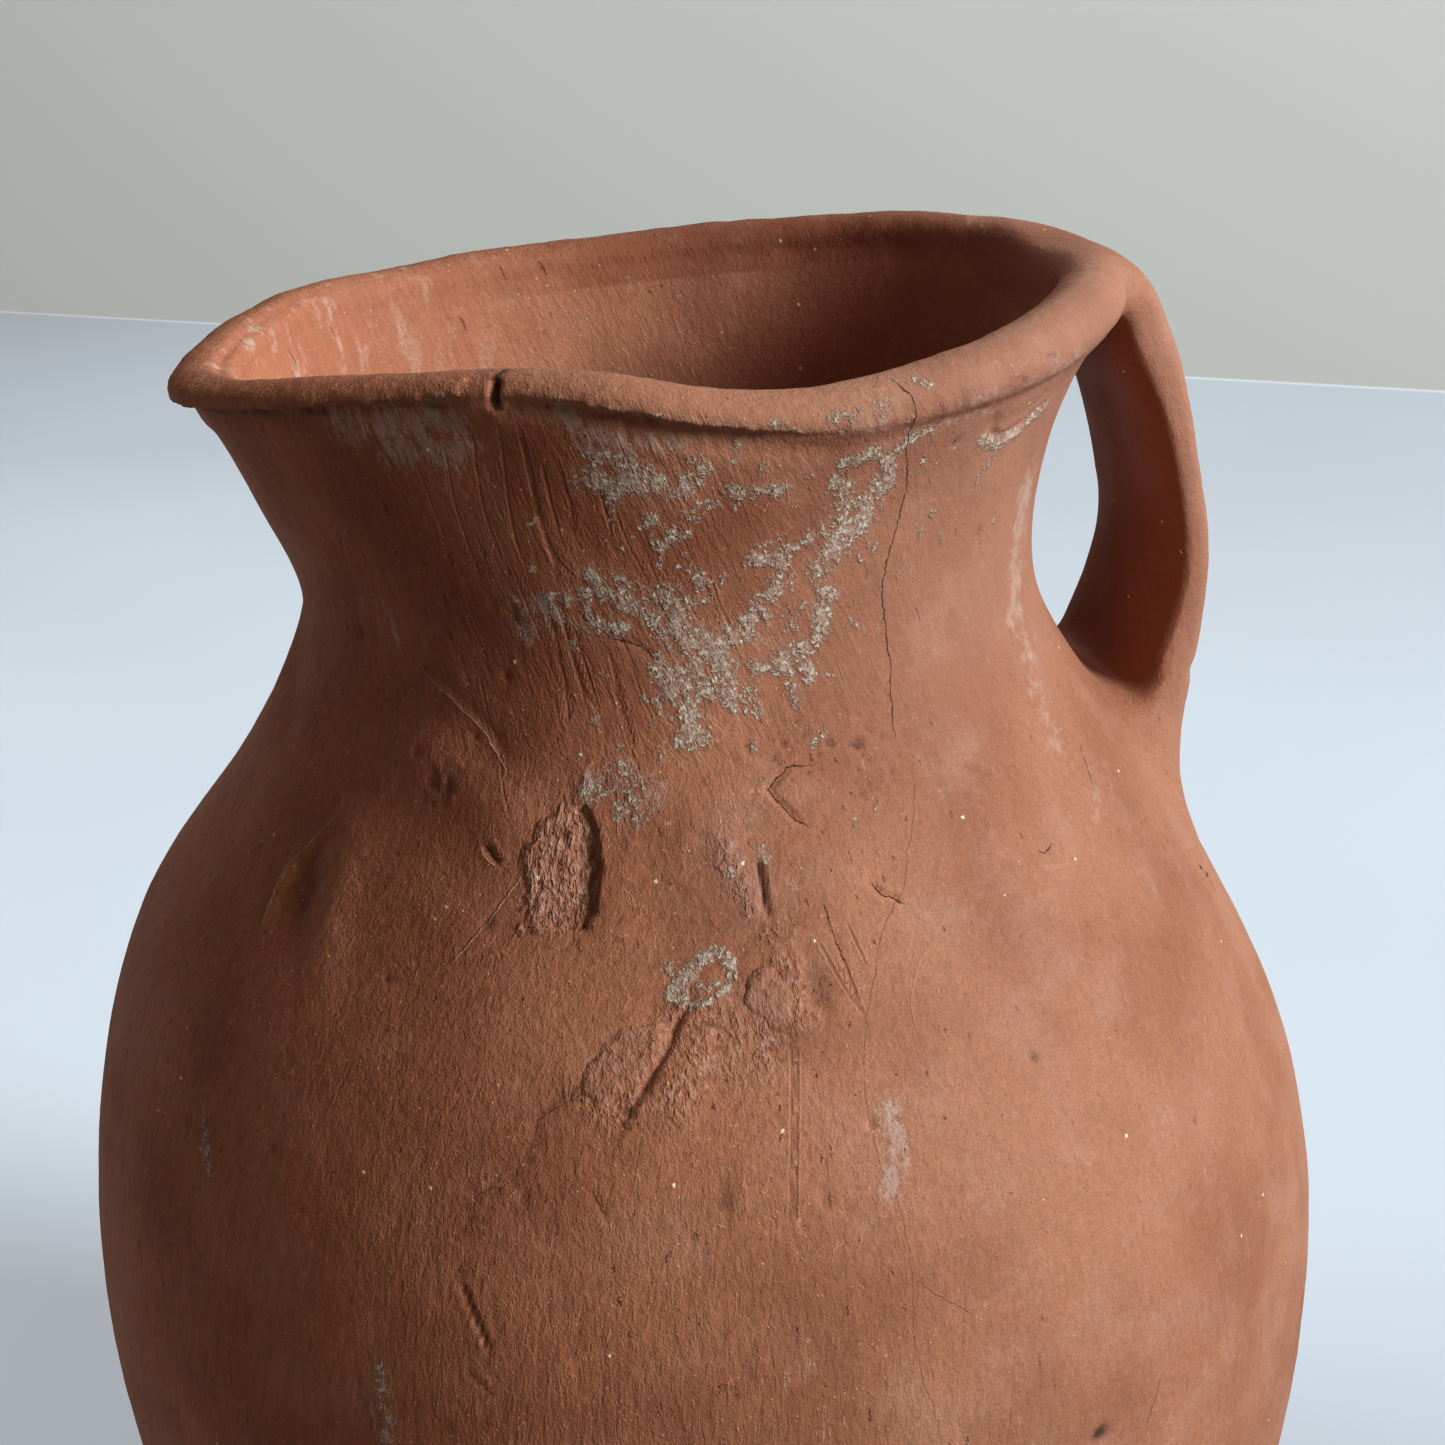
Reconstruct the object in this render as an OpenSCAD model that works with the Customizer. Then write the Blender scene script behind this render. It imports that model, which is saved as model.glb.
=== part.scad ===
// Hand-built ceramic pitcher: slab foot, four wall courses, lip coil and strap handle.
// Millimetres. Z is up, the foot rests on Z = 0, the handle points along +X, the spout along -X.

/* [Body] */
// Outer diameter where the foot meets the wall
foot_diameter = 82; // [78:1:88]
// Outer diameter at the widest part of the belly
belly_diameter = 150; // [144:1:156]
// Height of the widest part of the belly
belly_height = 84; // [80:1:88]
// Outer diameter where the neck is narrowest
neck_diameter = 85; // [82:1:90]
// Height where the neck is narrowest
neck_height = 169; // [167:1:171]
// How far the middle of the neck sits toward the spout
neck_lean = 4; // [2:0.5:5]

/* [Walls] */
// Thickness of the slab that makes the foot
slab_thickness = 8; // [7:0.5:9]
// Rounding of the lower edge of the slab
slab_rounding = 2.5; // [1.5:0.5:3]
// Wall thickness just above the slab
wall_at_foot = 7.5; // [6.5:0.5:8]
// Wall thickness at the top of the neck
wall_at_neck = 5.5; // [5:0.25:6]
// Height where the first course ends and the belly course begins
first_seam = 60; // [56:2:64]
// Height where the belly course ends and the shoulder course begins
second_seam = 112; // [108:2:116]
// Height where the shoulder course ends and the neck begins
third_seam = 162; // [160:1:164]
// Width of the coil pressed into the corner of floor and wall
floor_coil_width = 9; // [6:1:11]

/* [Mouth] */
// Mean outer diameter of the mouth
mouth_diameter = 95.5; // [92:0.5:100]
// How far the middle of the mouth sits toward the spout
mouth_lean = 3; // [2:0.5:4]
// Lengthening of the mouth along the line of spout and handle
mouth_oval = 2.4; // [1:0.2:3.4]
// Reach of the spout beyond the oval of the mouth
spout_reach = 5.9; // [4:0.1:8]
// Angle on either side of the spout over which the reach fades
spout_spread = 21; // [18:1:26]
// How far the lip is pinched in on each side of the spout
spout_pinch = 2; // [0:0.25:3]
// Height of the lip coil below its crest
lip_height = 5; // [4.5:0.25:6]
// How far the lip coil bulges beyond the flare of the neck
lip_bulge = 0.3; // [0:0.1:0.8]

/* [Handle] */
// Width of the strap at the middle of its height
strap_width = 27; // [24:1:30]
// Thickness of the strap at the middle of its height
strap_thickness = 5.6; // [5:0.2:6.4]
// Extra width of the strap where it meets the lip and the shoulder
strap_flare = 5; // [3:0.5:6]
// Sideways shift of the strap from the line of the spout
strap_shift = 1.5; // [0:0.5:2]
// Furthest reach of the middle of the strap from the axis of the foot
strap_reach = 56.8; // [55.5:0.1:58]

/* [Hidden] */
lowest_height = 0;
column_count = 80;
row_step = 5;
// share of the way up to the belly, and share of the swell reached there
foot_swell = [[0.24, 0.39], [0.6, 0.835]];
// share of the way from belly to neck, and share of the narrowing reached there
shoulder_fall = [[0.33, 0.08], [0.57, 0.325], [0.78, 0.69]];
// share of the way from neck to lip, and share of the widening reached there
neck_flare = [[0.52, 0.1]];
// height of the crest of the lip every 30 degrees, going round from the handle
crest_heights = [207.4, 206.7, 204.5, 202.4, 201.6, 201.7, 198.7, 202.4, 205.1, 202.9, 204.9, 207.3];
crest_step = 360 / len(crest_heights);
mean_crest = 203.7;

foot_radius = foot_diameter / 2;
belly_radius = belly_diameter / 2;
neck_radius = neck_diameter / 2;
mouth_radius = mouth_diameter / 2;
belly_rise = belly_height - lowest_height;
neck_rise = neck_height - belly_height;
flare_rise = mean_crest - neck_height;
belly_bow = 1;
flare_lean = 1.4;
// height, outer radius and lean toward the spout at each level of the body
stations = [
    [lowest_height, foot_radius, 0],
    [foot_swell[0][0] * belly_rise, foot_radius + foot_swell[0][1] * (belly_radius - foot_radius), 0],
    [foot_swell[1][0] * belly_rise, foot_radius + foot_swell[1][1] * (belly_radius - foot_radius), -belly_bow],
    [belly_height, belly_radius, 0],
    [belly_height + shoulder_fall[0][0] * neck_rise,
        belly_radius - shoulder_fall[0][1] * (belly_radius - neck_radius), belly_bow],
    [belly_height + shoulder_fall[1][0] * neck_rise,
        belly_radius - shoulder_fall[1][1] * (belly_radius - neck_radius), neck_lean * 0.6],
    [belly_height + shoulder_fall[2][0] * neck_rise,
        belly_radius - shoulder_fall[2][1] * (belly_radius - neck_radius), neck_lean * 0.5],
    [neck_height, neck_radius, neck_lean],
    [neck_height + neck_flare[0][0] * flare_rise,
        neck_radius + neck_flare[0][1] * (mouth_radius - neck_radius), neck_lean + flare_lean],
    [mean_crest, mouth_radius, mouth_lean]
];

// Smooth curve through rows of a table, column 0 being the place and column c the value
function slope_at(t, c, i) =
    let (lo = max(i - 1, 0), hi = min(i + 1, len(t) - 1))
    (t[hi][c] - t[lo][c]) / (t[hi][0] - t[lo][0]);
function span_of(t, x, i = 0) = (i >= len(t) - 2 || x < t[i + 1][0]) ? i : span_of(t, x, i + 1);
function curve(t, c, x) =
    let (
        i = span_of(t, x),
        gap = t[i + 1][0] - t[i][0],
        s = (x - t[i][0]) / gap,
        m0 = slope_at(t, c, i) * gap,
        m1 = slope_at(t, c, i + 1) * gap
    )
    (2 * s ^ 3 - 3 * s ^ 2 + 1) * t[i][c] + (s ^ 3 - 2 * s ^ 2 + s) * m0
    + (3 * s ^ 2 - 2 * s ^ 3) * t[i + 1][c] + (s ^ 3 - s ^ 2) * m1;

// Height of the crest of the lip at angle a
crest_count = len(crest_heights);
crest_table = [
    for (i = [-2 : crest_count + 2]) [i * crest_step, crest_heights[(i + crest_count) % crest_count]]
];
function crest(a) = curve(crest_table, 1, a);

// Change of the mouth radius at angle a: an oval, a drawn spout and a pinch on each side of it
pinch_place = 46;
pinch_spread = 17;
spout_power = 1.7;
function from_spout(a) = abs(a - 180);
function mouth_change(a) =
    mouth_oval * cos(2 * a)
    + spout_reach * exp(-(from_spout(a) / spout_spread) ^ spout_power)
    - spout_pinch * exp(-((from_spout(a) - pinch_place) / pinch_spread) ^ 2);

// Level along the stations, and share of the mouth shape, reached at angle a and height z
spout_fade = 1.34;
function mouth_share(a, z) = max(0, (z - neck_height) / (crest(a) - neck_height));
function level(a, z) = z <= neck_height ? z : neck_height + mouth_share(a, z) * flare_rise;
function outer_radius(a, z) =
    curve(stations, 1, level(a, z)) + mouth_change(a) * mouth_share(a, z) ^ spout_fade;
function lean(a, z) = curve(stations, 2, level(a, z));
function wall(z) = wall_at_foot + (wall_at_neck - wall_at_foot) * z / mean_crest;
probe = 0.5;
function steepness(a, z) =
    let (s = level(a, z))
    (curve(stations, 1, min(s + probe, mean_crest)) - curve(stations, 1, max(s - probe, lowest_height)))
    / (min(s + probe, mean_crest) - max(s - probe, lowest_height));
function inner_radius(a, z) = outer_radius(a, z) - wall(z) * sqrt(1 + steepness(a, z) ^ 2);
function place(a, z, r) = [r * cos(a) - lean(a, z), r * sin(a), z];

// Two triangles for the square whose corners are p, q, r and s, cut one way or the other
function split(p, q, r, s, flip) = flip ? [[p, s, q], [q, s, r]] : [[p, s, r], [p, r, q]];

// Closed ring through rows of points, each row one trip round the pot
module ring(rows, flip = false) {
    m = len(rows);
    n = len(rows[0]);
    polyhedron(
        points = [for (row = rows) each row],
        faces = [
            for (k = [0 : m - 1], j = [0 : n - 1])
                let (k1 = (k + 1) % m, j1 = (j + 1) % n)
                each split(k * n + j, k * n + j1, k1 * n + j1, k1 * n + j, flip)
        ],
        convexity = 6
    );
}

// Solid block between an outer and an inner sheet of points, for cutting pieces that lie on the wall.
// Squares from row flip_from upward are cut the other way.
module block(outer, inner, flip_from) {
    m = len(outer);
    n = len(outer[0]);
    d = m * n;
    polyhedron(
        points = [for (row = concat(outer, inner)) each row],
        faces = concat(
            [
                for (k = [0 : m - 2], j = [0 : n - 2])
                    let (p = k * n + j)
                    each split(p, p + 1, p + n + 1, p + n, k >= flip_from)
            ],
            [
                for (k = [0 : m - 2], j = [0 : n - 2])
                    let (p = d + k * n + j)
                    each split(p + 1, p, p + n, p + n + 1, false)
            ],
            [for (j = [0 : n - 2]) each split(d + j, d + j + 1, j + 1, j, false)],
            [
                for (j = [0 : n - 2])
                    let (p = (m - 1) * n + j)
                    each split(p, p + 1, d + p + 1, d + p, false)
            ],
            [for (k = [0 : m - 2]) let (p = k * n) each split(d + p, p, p + n, d + p + n, false)],
            [
                for (k = [0 : m - 2])
                    let (p = k * n + n - 1)
                    each split(p, d + p, d + p + n, p + n, false)
            ]
        ),
        convexity = 6
    );
}

// Closed bar through sections, each section one loop of points
module bar(sections) {
    m = len(sections);
    n = len(sections[0]);
    polyhedron(
        points = [for (section = sections) each section],
        faces = concat(
            [
                for (k = [0 : m - 2], j = [0 : n - 1])
                    let (j1 = (j + 1) % n)
                    each split(k * n + j, k * n + j1, (k + 1) * n + j1, (k + 1) * n + j, false)
            ],
            [[for (j = [0 : n - 1]) j]],
            [[for (j = [n - 1 : -1 : 0]) (m - 1) * n + j]]
        ),
        convexity = 6
    );
}

column_angle = 360 / column_count;
all_angles = [for (j = [0 : column_count - 1]) j * column_angle];
function steps_between(z0, z1) =
    let (n = ceil((z1 - z0) / row_step))
    [for (i = [0 : n]) z0 + (z1 - z0) * i / n];
function backward(list) = [for (i = [len(list) - 1 : -1 : 0]) list[i]];

// Outside and inside of a course of wall between two level seams
function outside(heights, turn) = [for (z = heights) [for (a = turn) place(a, z, outer_radius(a, z))]];
function inside(heights, turn) = [for (z = heights) [for (a = turn) place(a, z, inner_radius(a, z))]];
module course(heights) {
    ring(concat(outside(heights, all_angles), backward(inside(heights, all_angles))));
}

// The neck runs from its level seam to the foot of the lip coil, whose height changes round the mouth
neck_rows = 9;
function lip_foot(a) = crest(a) - lip_height;
function neck_level(a, i) = third_seam + (lip_foot(a) - third_seam) * i / neck_rows;
function neck_outside(turn) = [
    for (i = [0 : neck_rows])
        [for (a = turn) let (z = neck_level(a, i)) place(a, z, outer_radius(a, z))]
];
function neck_inside(turn) = [
    for (i = [0 : neck_rows])
        [for (a = turn) let (z = neck_level(a, i)) place(a, z, inner_radius(a, z))]
];

// Lip coil: an oval section standing on the neck, from its outer foot over the crest to its inner foot
lip_start = -40;
lip_turn = 20;
lip_roundness = 0.55;
lip_follow = 0.6;
function lip_point(a, t) =
    let (
        foot_out = outer_radius(a, lip_foot(a)),
        foot_in = inner_radius(a, lip_foot(a)),
        out = outer_radius(a, crest(a)) + lip_bulge,
        in = foot_in + lip_follow * (outer_radius(a, crest(a)) - foot_out),
        half_height = lip_height * lip_roundness
    )
    place(
        a,
        crest(a) - half_height + half_height * sin(t),
        (out + in) / 2 + (out - in) / 2 * cos(t)
    );
function lip_rows(turn, last) = [for (t = [lip_start : lip_turn : last]) [for (a = turn) lip_point(a, t)]];

// Slab foot: a flat disc with a rounded lower edge, as wide at the top as the wall that stands on it
slab_top_radius = outer_radius(0, slab_thickness);
arc_step = 15;
module base_slab() {
    color("sienna")
        rotate_extrude($fn = column_count)
            polygon(concat(
                [[0, 0]],
                [
                    for (t = [-90 : arc_step : 0])
                        [
                            foot_radius - slab_rounding + slab_rounding * cos(t),
                            slab_rounding + slab_rounding * sin(t)
                        ]
                ],
                [[slab_top_radius, slab_thickness], [0, slab_thickness]]
            ));
}

// Coil pressed into the corner between the slab and the wall, smoothed to a slightly hollow face
coil_rise = 8;
coil_hollow = 0.4;
lower_heights = concat(
    [slab_thickness, slab_thickness + coil_rise / 2],
    steps_between(slab_thickness + coil_rise, first_seam)
);
coil_top = slab_thickness + coil_rise;
module floor_coil() {
    against_wall = inside([for (i = [0 : 2]) lower_heights[i]], all_angles);
    hollow = [
        for (t = [90 - arc_step : -arc_step : 0])
            [
                for (a = all_angles)
                    let (
                        r = inner_radius(a, slab_thickness) - floor_coil_width,
                        up = coil_hollow * (1 - cos(t)) + (1 - coil_hollow) * t / 90,
                        out = coil_hollow * sin(t) + (1 - coil_hollow) * t / 90
                    )
                    place(a, slab_thickness + coil_rise * up, r + (inner_radius(a, coil_top) - r) * out)
            ]
    ];
    color("peru")
        ring(concat(against_wall, hollow));
}

module lower_wall() {
    color("chocolate")
        course(lower_heights);
}

module belly_wall() {
    color("sienna")
        course(steps_between(first_seam, second_seam));
}

shoulder_heights = steps_between(second_seam, third_seam);
module shoulder_wall() {
    color("chocolate")
        course(shoulder_heights);
}

module neck_collar() {
    color("sienna")
        ring(concat(neck_outside(all_angles), backward(neck_inside(all_angles))));
}

module lip_coil() {
    foot_out = neck_outside(all_angles)[neck_rows];
    foot_in = neck_inside(all_angles)[neck_rows];
    color("peru")
        ring(concat([foot_out], lip_rows(all_angles, 180), [foot_in]), flip = true);
}

// The pot as handle and clay pads meet it, between two column numbers, from the second seam to the crest
core_depth = 0.45;
function shrunk(rows) = [for (row = rows) [for (p = row) [p.x * core_depth, p.y * core_depth, p.z]]];
module pot_side(first, last) {
    turn = [for (j = [first : last]) j * column_angle];
    below = [for (i = [0 : len(shoulder_heights) - 2]) shoulder_heights[i]];
    rows = concat(outside(below, turn), neck_outside(turn), lip_rows(turn, 90));
    block(rows, shrunk(rows), len(below) + neck_rows + 1);
}

// Strap: line of its middle as step, reach, height, half width and half thickness
half_width = strap_width / 2;
half_thickness = strap_thickness / 2;
strap_line = [
    [0, strap_reach - 12.8, 205, half_width + strap_flare * 0.5, half_thickness + 0.2],
    [1, strap_reach - 8.2, 201.6, half_width + strap_flare * 0.2, half_thickness + 0.3],
    [2, strap_reach - 3.6, 189, half_width, half_thickness],
    [3, strap_reach - 0.2, 172, half_width, half_thickness],
    [4, strap_reach - 1.2, 157.5, half_width, half_thickness],
    [5, strap_reach - 3.1, 145.5, half_width + strap_flare * 0.6, half_thickness - 0.2]
];
strap_points = 24;
strap_steps = 5;
edge_power = 2 / 3;
function sign_power(v) = sign(v) * abs(v) ^ edge_power;
small_step = 0.05;
function strap_at(s) = [curve(strap_line, 1, s), curve(strap_line, 2, s)];
function strap_section(s) =
    let (
        c = strap_at(s),
        d = strap_at(s + small_step) - strap_at(s - small_step),
        n = [-d.y, d.x] / norm(d),
        w = curve(strap_line, 3, s),
        h = curve(strap_line, 4, s)
    )
    [
        for (j = [0 : strap_points - 1])
            let (
                t = j * 360 / strap_points,
                across = w * sign_power(sin(t)),
                through = -h * sign_power(cos(t))
            )
            [c.x + n.x * through, strap_shift + across, c.y + n.y * through]
    ];
module strap_blank() {
    last = (len(strap_line) - 1) * strap_steps;
    bar([for (i = [0 : last]) strap_section(i / strap_steps)]);
}

// Columns of the pot that the handle covers, on either side of the line of the handle
handle_columns = 7;
module handle_strap() {
    color("tan")
        difference() {
            strap_blank();
            pot_side(-handle_columns, handle_columns);
        }
}

// Squashed ball of clay
ball_faces = 32;
module ball(middle, size) {
    translate(middle)
        hull()
            scale(size)
                sphere(1, $fn = ball_faces);
}

upper_wad_size = [3.6, 13, 5];
upper_wad_place = [strap_reach - 10.2, strap_shift, 199];
module handle_upper_wad() {
    color("burlywood")
        difference() {
            ball(upper_wad_place, upper_wad_size);
            strap_blank();
            pot_side(-handle_columns, handle_columns);
        }
}

lower_wad_size = [7.4, 21, 13];
lower_wad_place = [strap_reach - 7.2, strap_shift, 145.5];
module handle_lower_wad() {
    color("burlywood")
        difference() {
            ball(lower_wad_place, lower_wad_size);
            strap_blank();
            pot_side(-handle_columns, handle_columns);
        }
}

// Clay pad lying on the wall at angle a and height z, its size given as length, width and thickness.
// It leans with the wall, and turn tips its length away from straight up.
module pad(a, z, size, turn) {
    translate(place(a, z, outer_radius(a, z)))
        rotate([0, atan(steepness(a, z)), a])
            rotate([turn, 0, 0])
                hull()
                    scale([size.z, size.y / 2, size.x / 2])
                        sphere(1, $fn = ball_faces);
}

smear_angle = 248.5;
smear_height = 139;
smear_size = [18, 9, 1.6];
smear_turn = -40;
smear_columns = [52, 59];
module shoulder_smear() {
    color("rosybrown")
        difference() {
            pad(smear_angle, smear_height, smear_size, smear_turn);
            pot_side(smear_columns[0], smear_columns[1]);
        }
}

lump_angle = 262;
lump_height = 144;
lump_size = [13, 9, 1.9];
lump_turn = 20;
lump_columns = [55, 62];
module shoulder_lump() {
    color("rosybrown")
        difference() {
            pad(lump_angle, lump_height, lump_size, lump_turn);
            pot_side(lump_columns[0], lump_columns[1]);
        }
}

base_slab();
floor_coil();
lower_wall();
belly_wall();
shoulder_wall();
neck_collar();
lip_coil();
handle_strap();
handle_upper_wad();
handle_lower_wad();
shoulder_smear();
shoulder_lump();
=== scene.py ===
import math

import bpy
import numpy as np
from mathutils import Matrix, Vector
from mathutils.bvhtree import BVHTree


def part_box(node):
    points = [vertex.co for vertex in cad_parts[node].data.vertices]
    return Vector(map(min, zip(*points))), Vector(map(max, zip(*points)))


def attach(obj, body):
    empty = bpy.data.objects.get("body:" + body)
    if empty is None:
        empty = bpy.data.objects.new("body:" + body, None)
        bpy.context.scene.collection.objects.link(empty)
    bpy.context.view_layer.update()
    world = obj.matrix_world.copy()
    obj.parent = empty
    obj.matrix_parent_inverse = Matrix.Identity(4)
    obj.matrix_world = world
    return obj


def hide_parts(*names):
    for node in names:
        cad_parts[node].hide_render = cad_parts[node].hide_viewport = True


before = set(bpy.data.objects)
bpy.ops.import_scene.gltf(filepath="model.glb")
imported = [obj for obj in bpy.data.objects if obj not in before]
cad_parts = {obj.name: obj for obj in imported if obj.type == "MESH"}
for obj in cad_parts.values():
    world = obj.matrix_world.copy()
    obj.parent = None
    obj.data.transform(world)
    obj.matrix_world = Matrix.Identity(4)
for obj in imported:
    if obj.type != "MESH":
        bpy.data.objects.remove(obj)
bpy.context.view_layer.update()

MM = 1000.0
TAU = 2 * math.pi

# ---------------------------------------------------------------- small helpers


def smooth(lo, hi, x):
    t = np.clip((x - lo) / (hi - lo), 0, 1)
    return t * t * (3 - 2 * t)


def bell(x, width):
    return np.exp(-((x / width) ** 2))


def wrap(deg):
    return (deg + 180) % 360 - 180


def lattice(ix, iy, iz, seed):
    h = (
        ix.astype(np.int64) * 374761393
        + iy.astype(np.int64) * 668265263
        + iz.astype(np.int64) * 1440662683
        + seed * 974634777
    ) & 0xFFFFFFFF
    h = ((h ^ (h >> 13)) * 1274126177) & 0xFFFFFFFF
    return ((h ^ (h >> 16)) & 0xFFFF) / 32767.5 - 1


def noise(p, size, seed, octaves=1):
    """Smooth value noise from -1 to 1 at points p in mm; size is the width of one lump in mm."""
    out = np.zeros(len(p))
    amp, total = 1.0, 0.0
    for o in range(octaves):
        q = p / size * 2**o
        i = np.floor(q)
        f = q - i
        f = f * f * (3 - 2 * f)
        i = i.astype(np.int64)
        v = 0
        for dx in (0, 1):
            for dy in (0, 1):
                for dz in (0, 1):
                    w = (
                        (f[:, 0] if dx else 1 - f[:, 0])
                        * (f[:, 1] if dy else 1 - f[:, 1])
                        * (f[:, 2] if dz else 1 - f[:, 2])
                    )
                    v = v + w * lattice(i[:, 0] + dx, i[:, 1] + dy, i[:, 2] + dz, seed + 17 * o)
        out += amp * v
        total += amp
        amp *= 0.5
    return out / total


def tree_of(names):
    verts, faces = [], []
    for n in names:
        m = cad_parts[n].data
        base = len(verts)
        verts += [v.co * MM for v in m.vertices]
        faces += [[base + i for i in f.vertices] for f in m.polygons]
    return BVHTree.FromPolygons(verts, faces)


def box(name):
    lo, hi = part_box(name)
    return np.array(lo) * MM, np.array(hi) * MM


# ---------------------------------------------------------------- shape of the pot, read from the frame

SLAB_TOP = box("base_slab")[1][2]
SEAM_1 = box("lower_wall")[1][2]
SEAM_2 = box("belly_wall")[1][2]
SEAM_3 = box("shoulder_wall")[1][2]
LIP_H = 5.0
LIP_HALF = 2.75
WALLS = ["base_slab", "lower_wall", "belly_wall", "shoulder_wall", "neck_collar", "lip_coil"]
outer_tree = tree_of(WALLS)
inner_tree = tree_of(WALLS[1:])
lip_tree = tree_of(["lip_coil"])

FAR_OUT, FAR_UP = 140, 300
LIP_RADII = (36, 60)
N_ANGLES = 144
HARMONICS = 22
ring_angles = np.arange(N_ANGLES) * TAU / N_ANGLES


def ray(tree, a, z, inward):
    """Radius of the clay at angle a and height z, met from outside or from the middle."""
    d = Vector((math.cos(a), math.sin(a), 0))
    at = Vector((0, 0, z))
    hit = tree.ray_cast(at + d * FAR_OUT, -d)[0] if inward else tree.ray_cast(at, d)[0]
    return math.hypot(hit.x, hit.y)


def crest_at(a):
    """Highest point of the lip at angle a."""
    top = -1.0
    for r in np.arange(*LIP_RADII, 0.5):
        start = Vector((r * math.cos(a), r * math.sin(a), FAR_UP))
        hit = lip_tree.ray_cast(start, Vector((0, 0, -1)))[0]
        if hit is not None:
            top = max(top, hit.z)
    return top


def low_pass(values, angles):
    """Fourier series of values given at ring_angles, evaluated at other angles in radians."""
    c = np.fft.rfft(values, axis=-1) / N_ANGLES
    k = np.arange(HARMONICS + 1)
    fade = np.cos(np.clip((k - HARMONICS * 0.6) / (HARMONICS * 0.45), 0, 1) * math.pi / 2)
    basis = np.exp(1j * np.outer(k, angles)) * fade[:, None]
    basis[1:] *= 2
    return np.real(c[..., : HARMONICS + 1] @ basis)


FRONT_COLUMNS = 430
BACK_COLUMNS = 170
columns = np.concatenate(
    [
        -180 + 180 * np.arange(FRONT_COLUMNS) / FRONT_COLUMNS,
        180 * np.arange(BACK_COLUMNS) / BACK_COLUMNS,
    ]
)
col = np.radians(columns)
NC = len(columns)

crest_ring = np.array([crest_at(a) for a in ring_angles])
crest = low_pass(crest_ring, col)
MEAN_CREST = crest_ring.mean()

H_STEP = 1.5
H_FIRST = 2.6
h_rows = np.arange(H_FIRST, MEAN_CREST - LIP_HALF + 0.01, H_STEP)


def z_of(h, top):
    return np.where(h <= SEAM_3, h, SEAM_3 + (h - SEAM_3) / (MEAN_CREST - SEAM_3) * (top - SEAM_3))


def h_of(z, top):
    return np.where(z <= SEAM_3, z, SEAM_3 + (z - SEAM_3) / (top - SEAM_3) * (MEAN_CREST - SEAM_3))


def sample(tree, inward):
    raw = np.array(
        [
            [
                ray(tree, a, float(z_of(h, t)) + 0.003, inward)
                for a, t in zip(ring_angles, crest_ring)
            ]
            for h in (h_rows if inward else np.maximum(h_rows, SLAB_TOP + 0.2))
        ]
    )
    kernel = bell(np.arange(-4, 5) * H_STEP, 2.2)
    kernel /= kernel.sum()
    padded = np.pad(raw, ((4, 4), (0, 0)), mode="reflect", reflect_type="odd")
    even = sum(k * padded[i : i + len(raw)] for i, k in enumerate(kernel))
    return low_pass(even, col)


outer_table = sample(outer_tree, True)
inner_table = sample(inner_tree, False)


def radius(table, h):
    """Radius at nominal heights h, one row of h for every row wanted and one column for every column."""
    x = np.clip((h - H_FIRST) / H_STEP, 0, len(table) - 1.001)
    i = np.floor(x).astype(int)
    t = x - i
    c = np.arange(NC)[None, :]
    p = [table[np.clip(i + k, 0, len(table) - 1), c] for k in (-1, 0, 1, 2)]
    return p[1] + 0.5 * t * (
        p[2] - p[0] + t * (2 * p[0] - 5 * p[1] + 4 * p[2] - p[3] + t * (3 * (p[1] - p[2]) + p[3] - p[0]))
    )


# rows of the grid, outside from the slab to the crest of the lip and then down inside
rows_r, rows_z, spans = [], [], {}


def add_rows(name, r, z):
    start = sum(len(a) for a in rows_r)
    rows_r.append(np.atleast_2d(r))
    rows_z.append(np.atleast_2d(z))
    spans[name] = (start, start + len(rows_r[-1]))


def level_rows(z0, z1, n):
    return np.repeat((z0 + (z1 - z0) * np.arange(n) / n)[:, None], NC, 1)


def straight(table, name, z):
    add_rows(name, radius(table, h_of(z, crest[None, :])), z)


SLAB_ROUND = 2.5
FOOT_RADIUS = 41.0
t_arc = np.radians(np.linspace(90, 12, 7))[:, None]
foot_r = radius(outer_table, np.full((1, NC), SLAB_ROUND))
add_rows(
    "slab_edge",
    FOOT_RADIUS - SLAB_ROUND * (1 - np.cos(t_arc)) + 0 * foot_r,
    SLAB_ROUND - SLAB_ROUND * np.sin(t_arc) + 0 * foot_r,
)
slab_z = level_rows(SLAB_ROUND, SLAB_TOP, 9)
slab_top_r = radius(outer_table, np.full((1, NC), SLAB_TOP + 0.3))
rise = (slab_z - SLAB_ROUND) / (SLAB_TOP - SLAB_ROUND)
add_rows("slab_side", FOOT_RADIUS + (slab_top_r - FOOT_RADIUS) * (0.72 * rise + 0.28 * rise**2), slab_z)
straight(outer_table, "lower_out", level_rows(SLAB_TOP, SEAM_1, 66))
straight(outer_table, "belly_out", level_rows(SEAM_1, SEAM_2, 92))
shoulder_share = np.arange(140) / 140
straight(
    outer_table,
    "shoulder_out",
    np.repeat((SEAM_2 + (SEAM_3 - SEAM_2) * shoulder_share)[:, None], NC, 1),
)
neck_share = (np.arange(94) / 94)[:, None]
straight(outer_table, "neck_out", SEAM_3 + (crest - LIP_H - SEAM_3)[None, :] * neck_share)
lip_share = (np.arange(7) / 7)[:, None]
straight(outer_table, "lip_out", crest[None, :] - LIP_H + (LIP_H - LIP_HALF) * lip_share)
top_out = radius(outer_table, h_of(crest - LIP_HALF, crest)[None, :])
top_in = radius(inner_table, h_of(crest - LIP_HALF, crest)[None, :])
CAP_ROWS = 29
t_cap = np.radians(np.linspace(0, 180, CAP_ROWS))[:, None]
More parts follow.
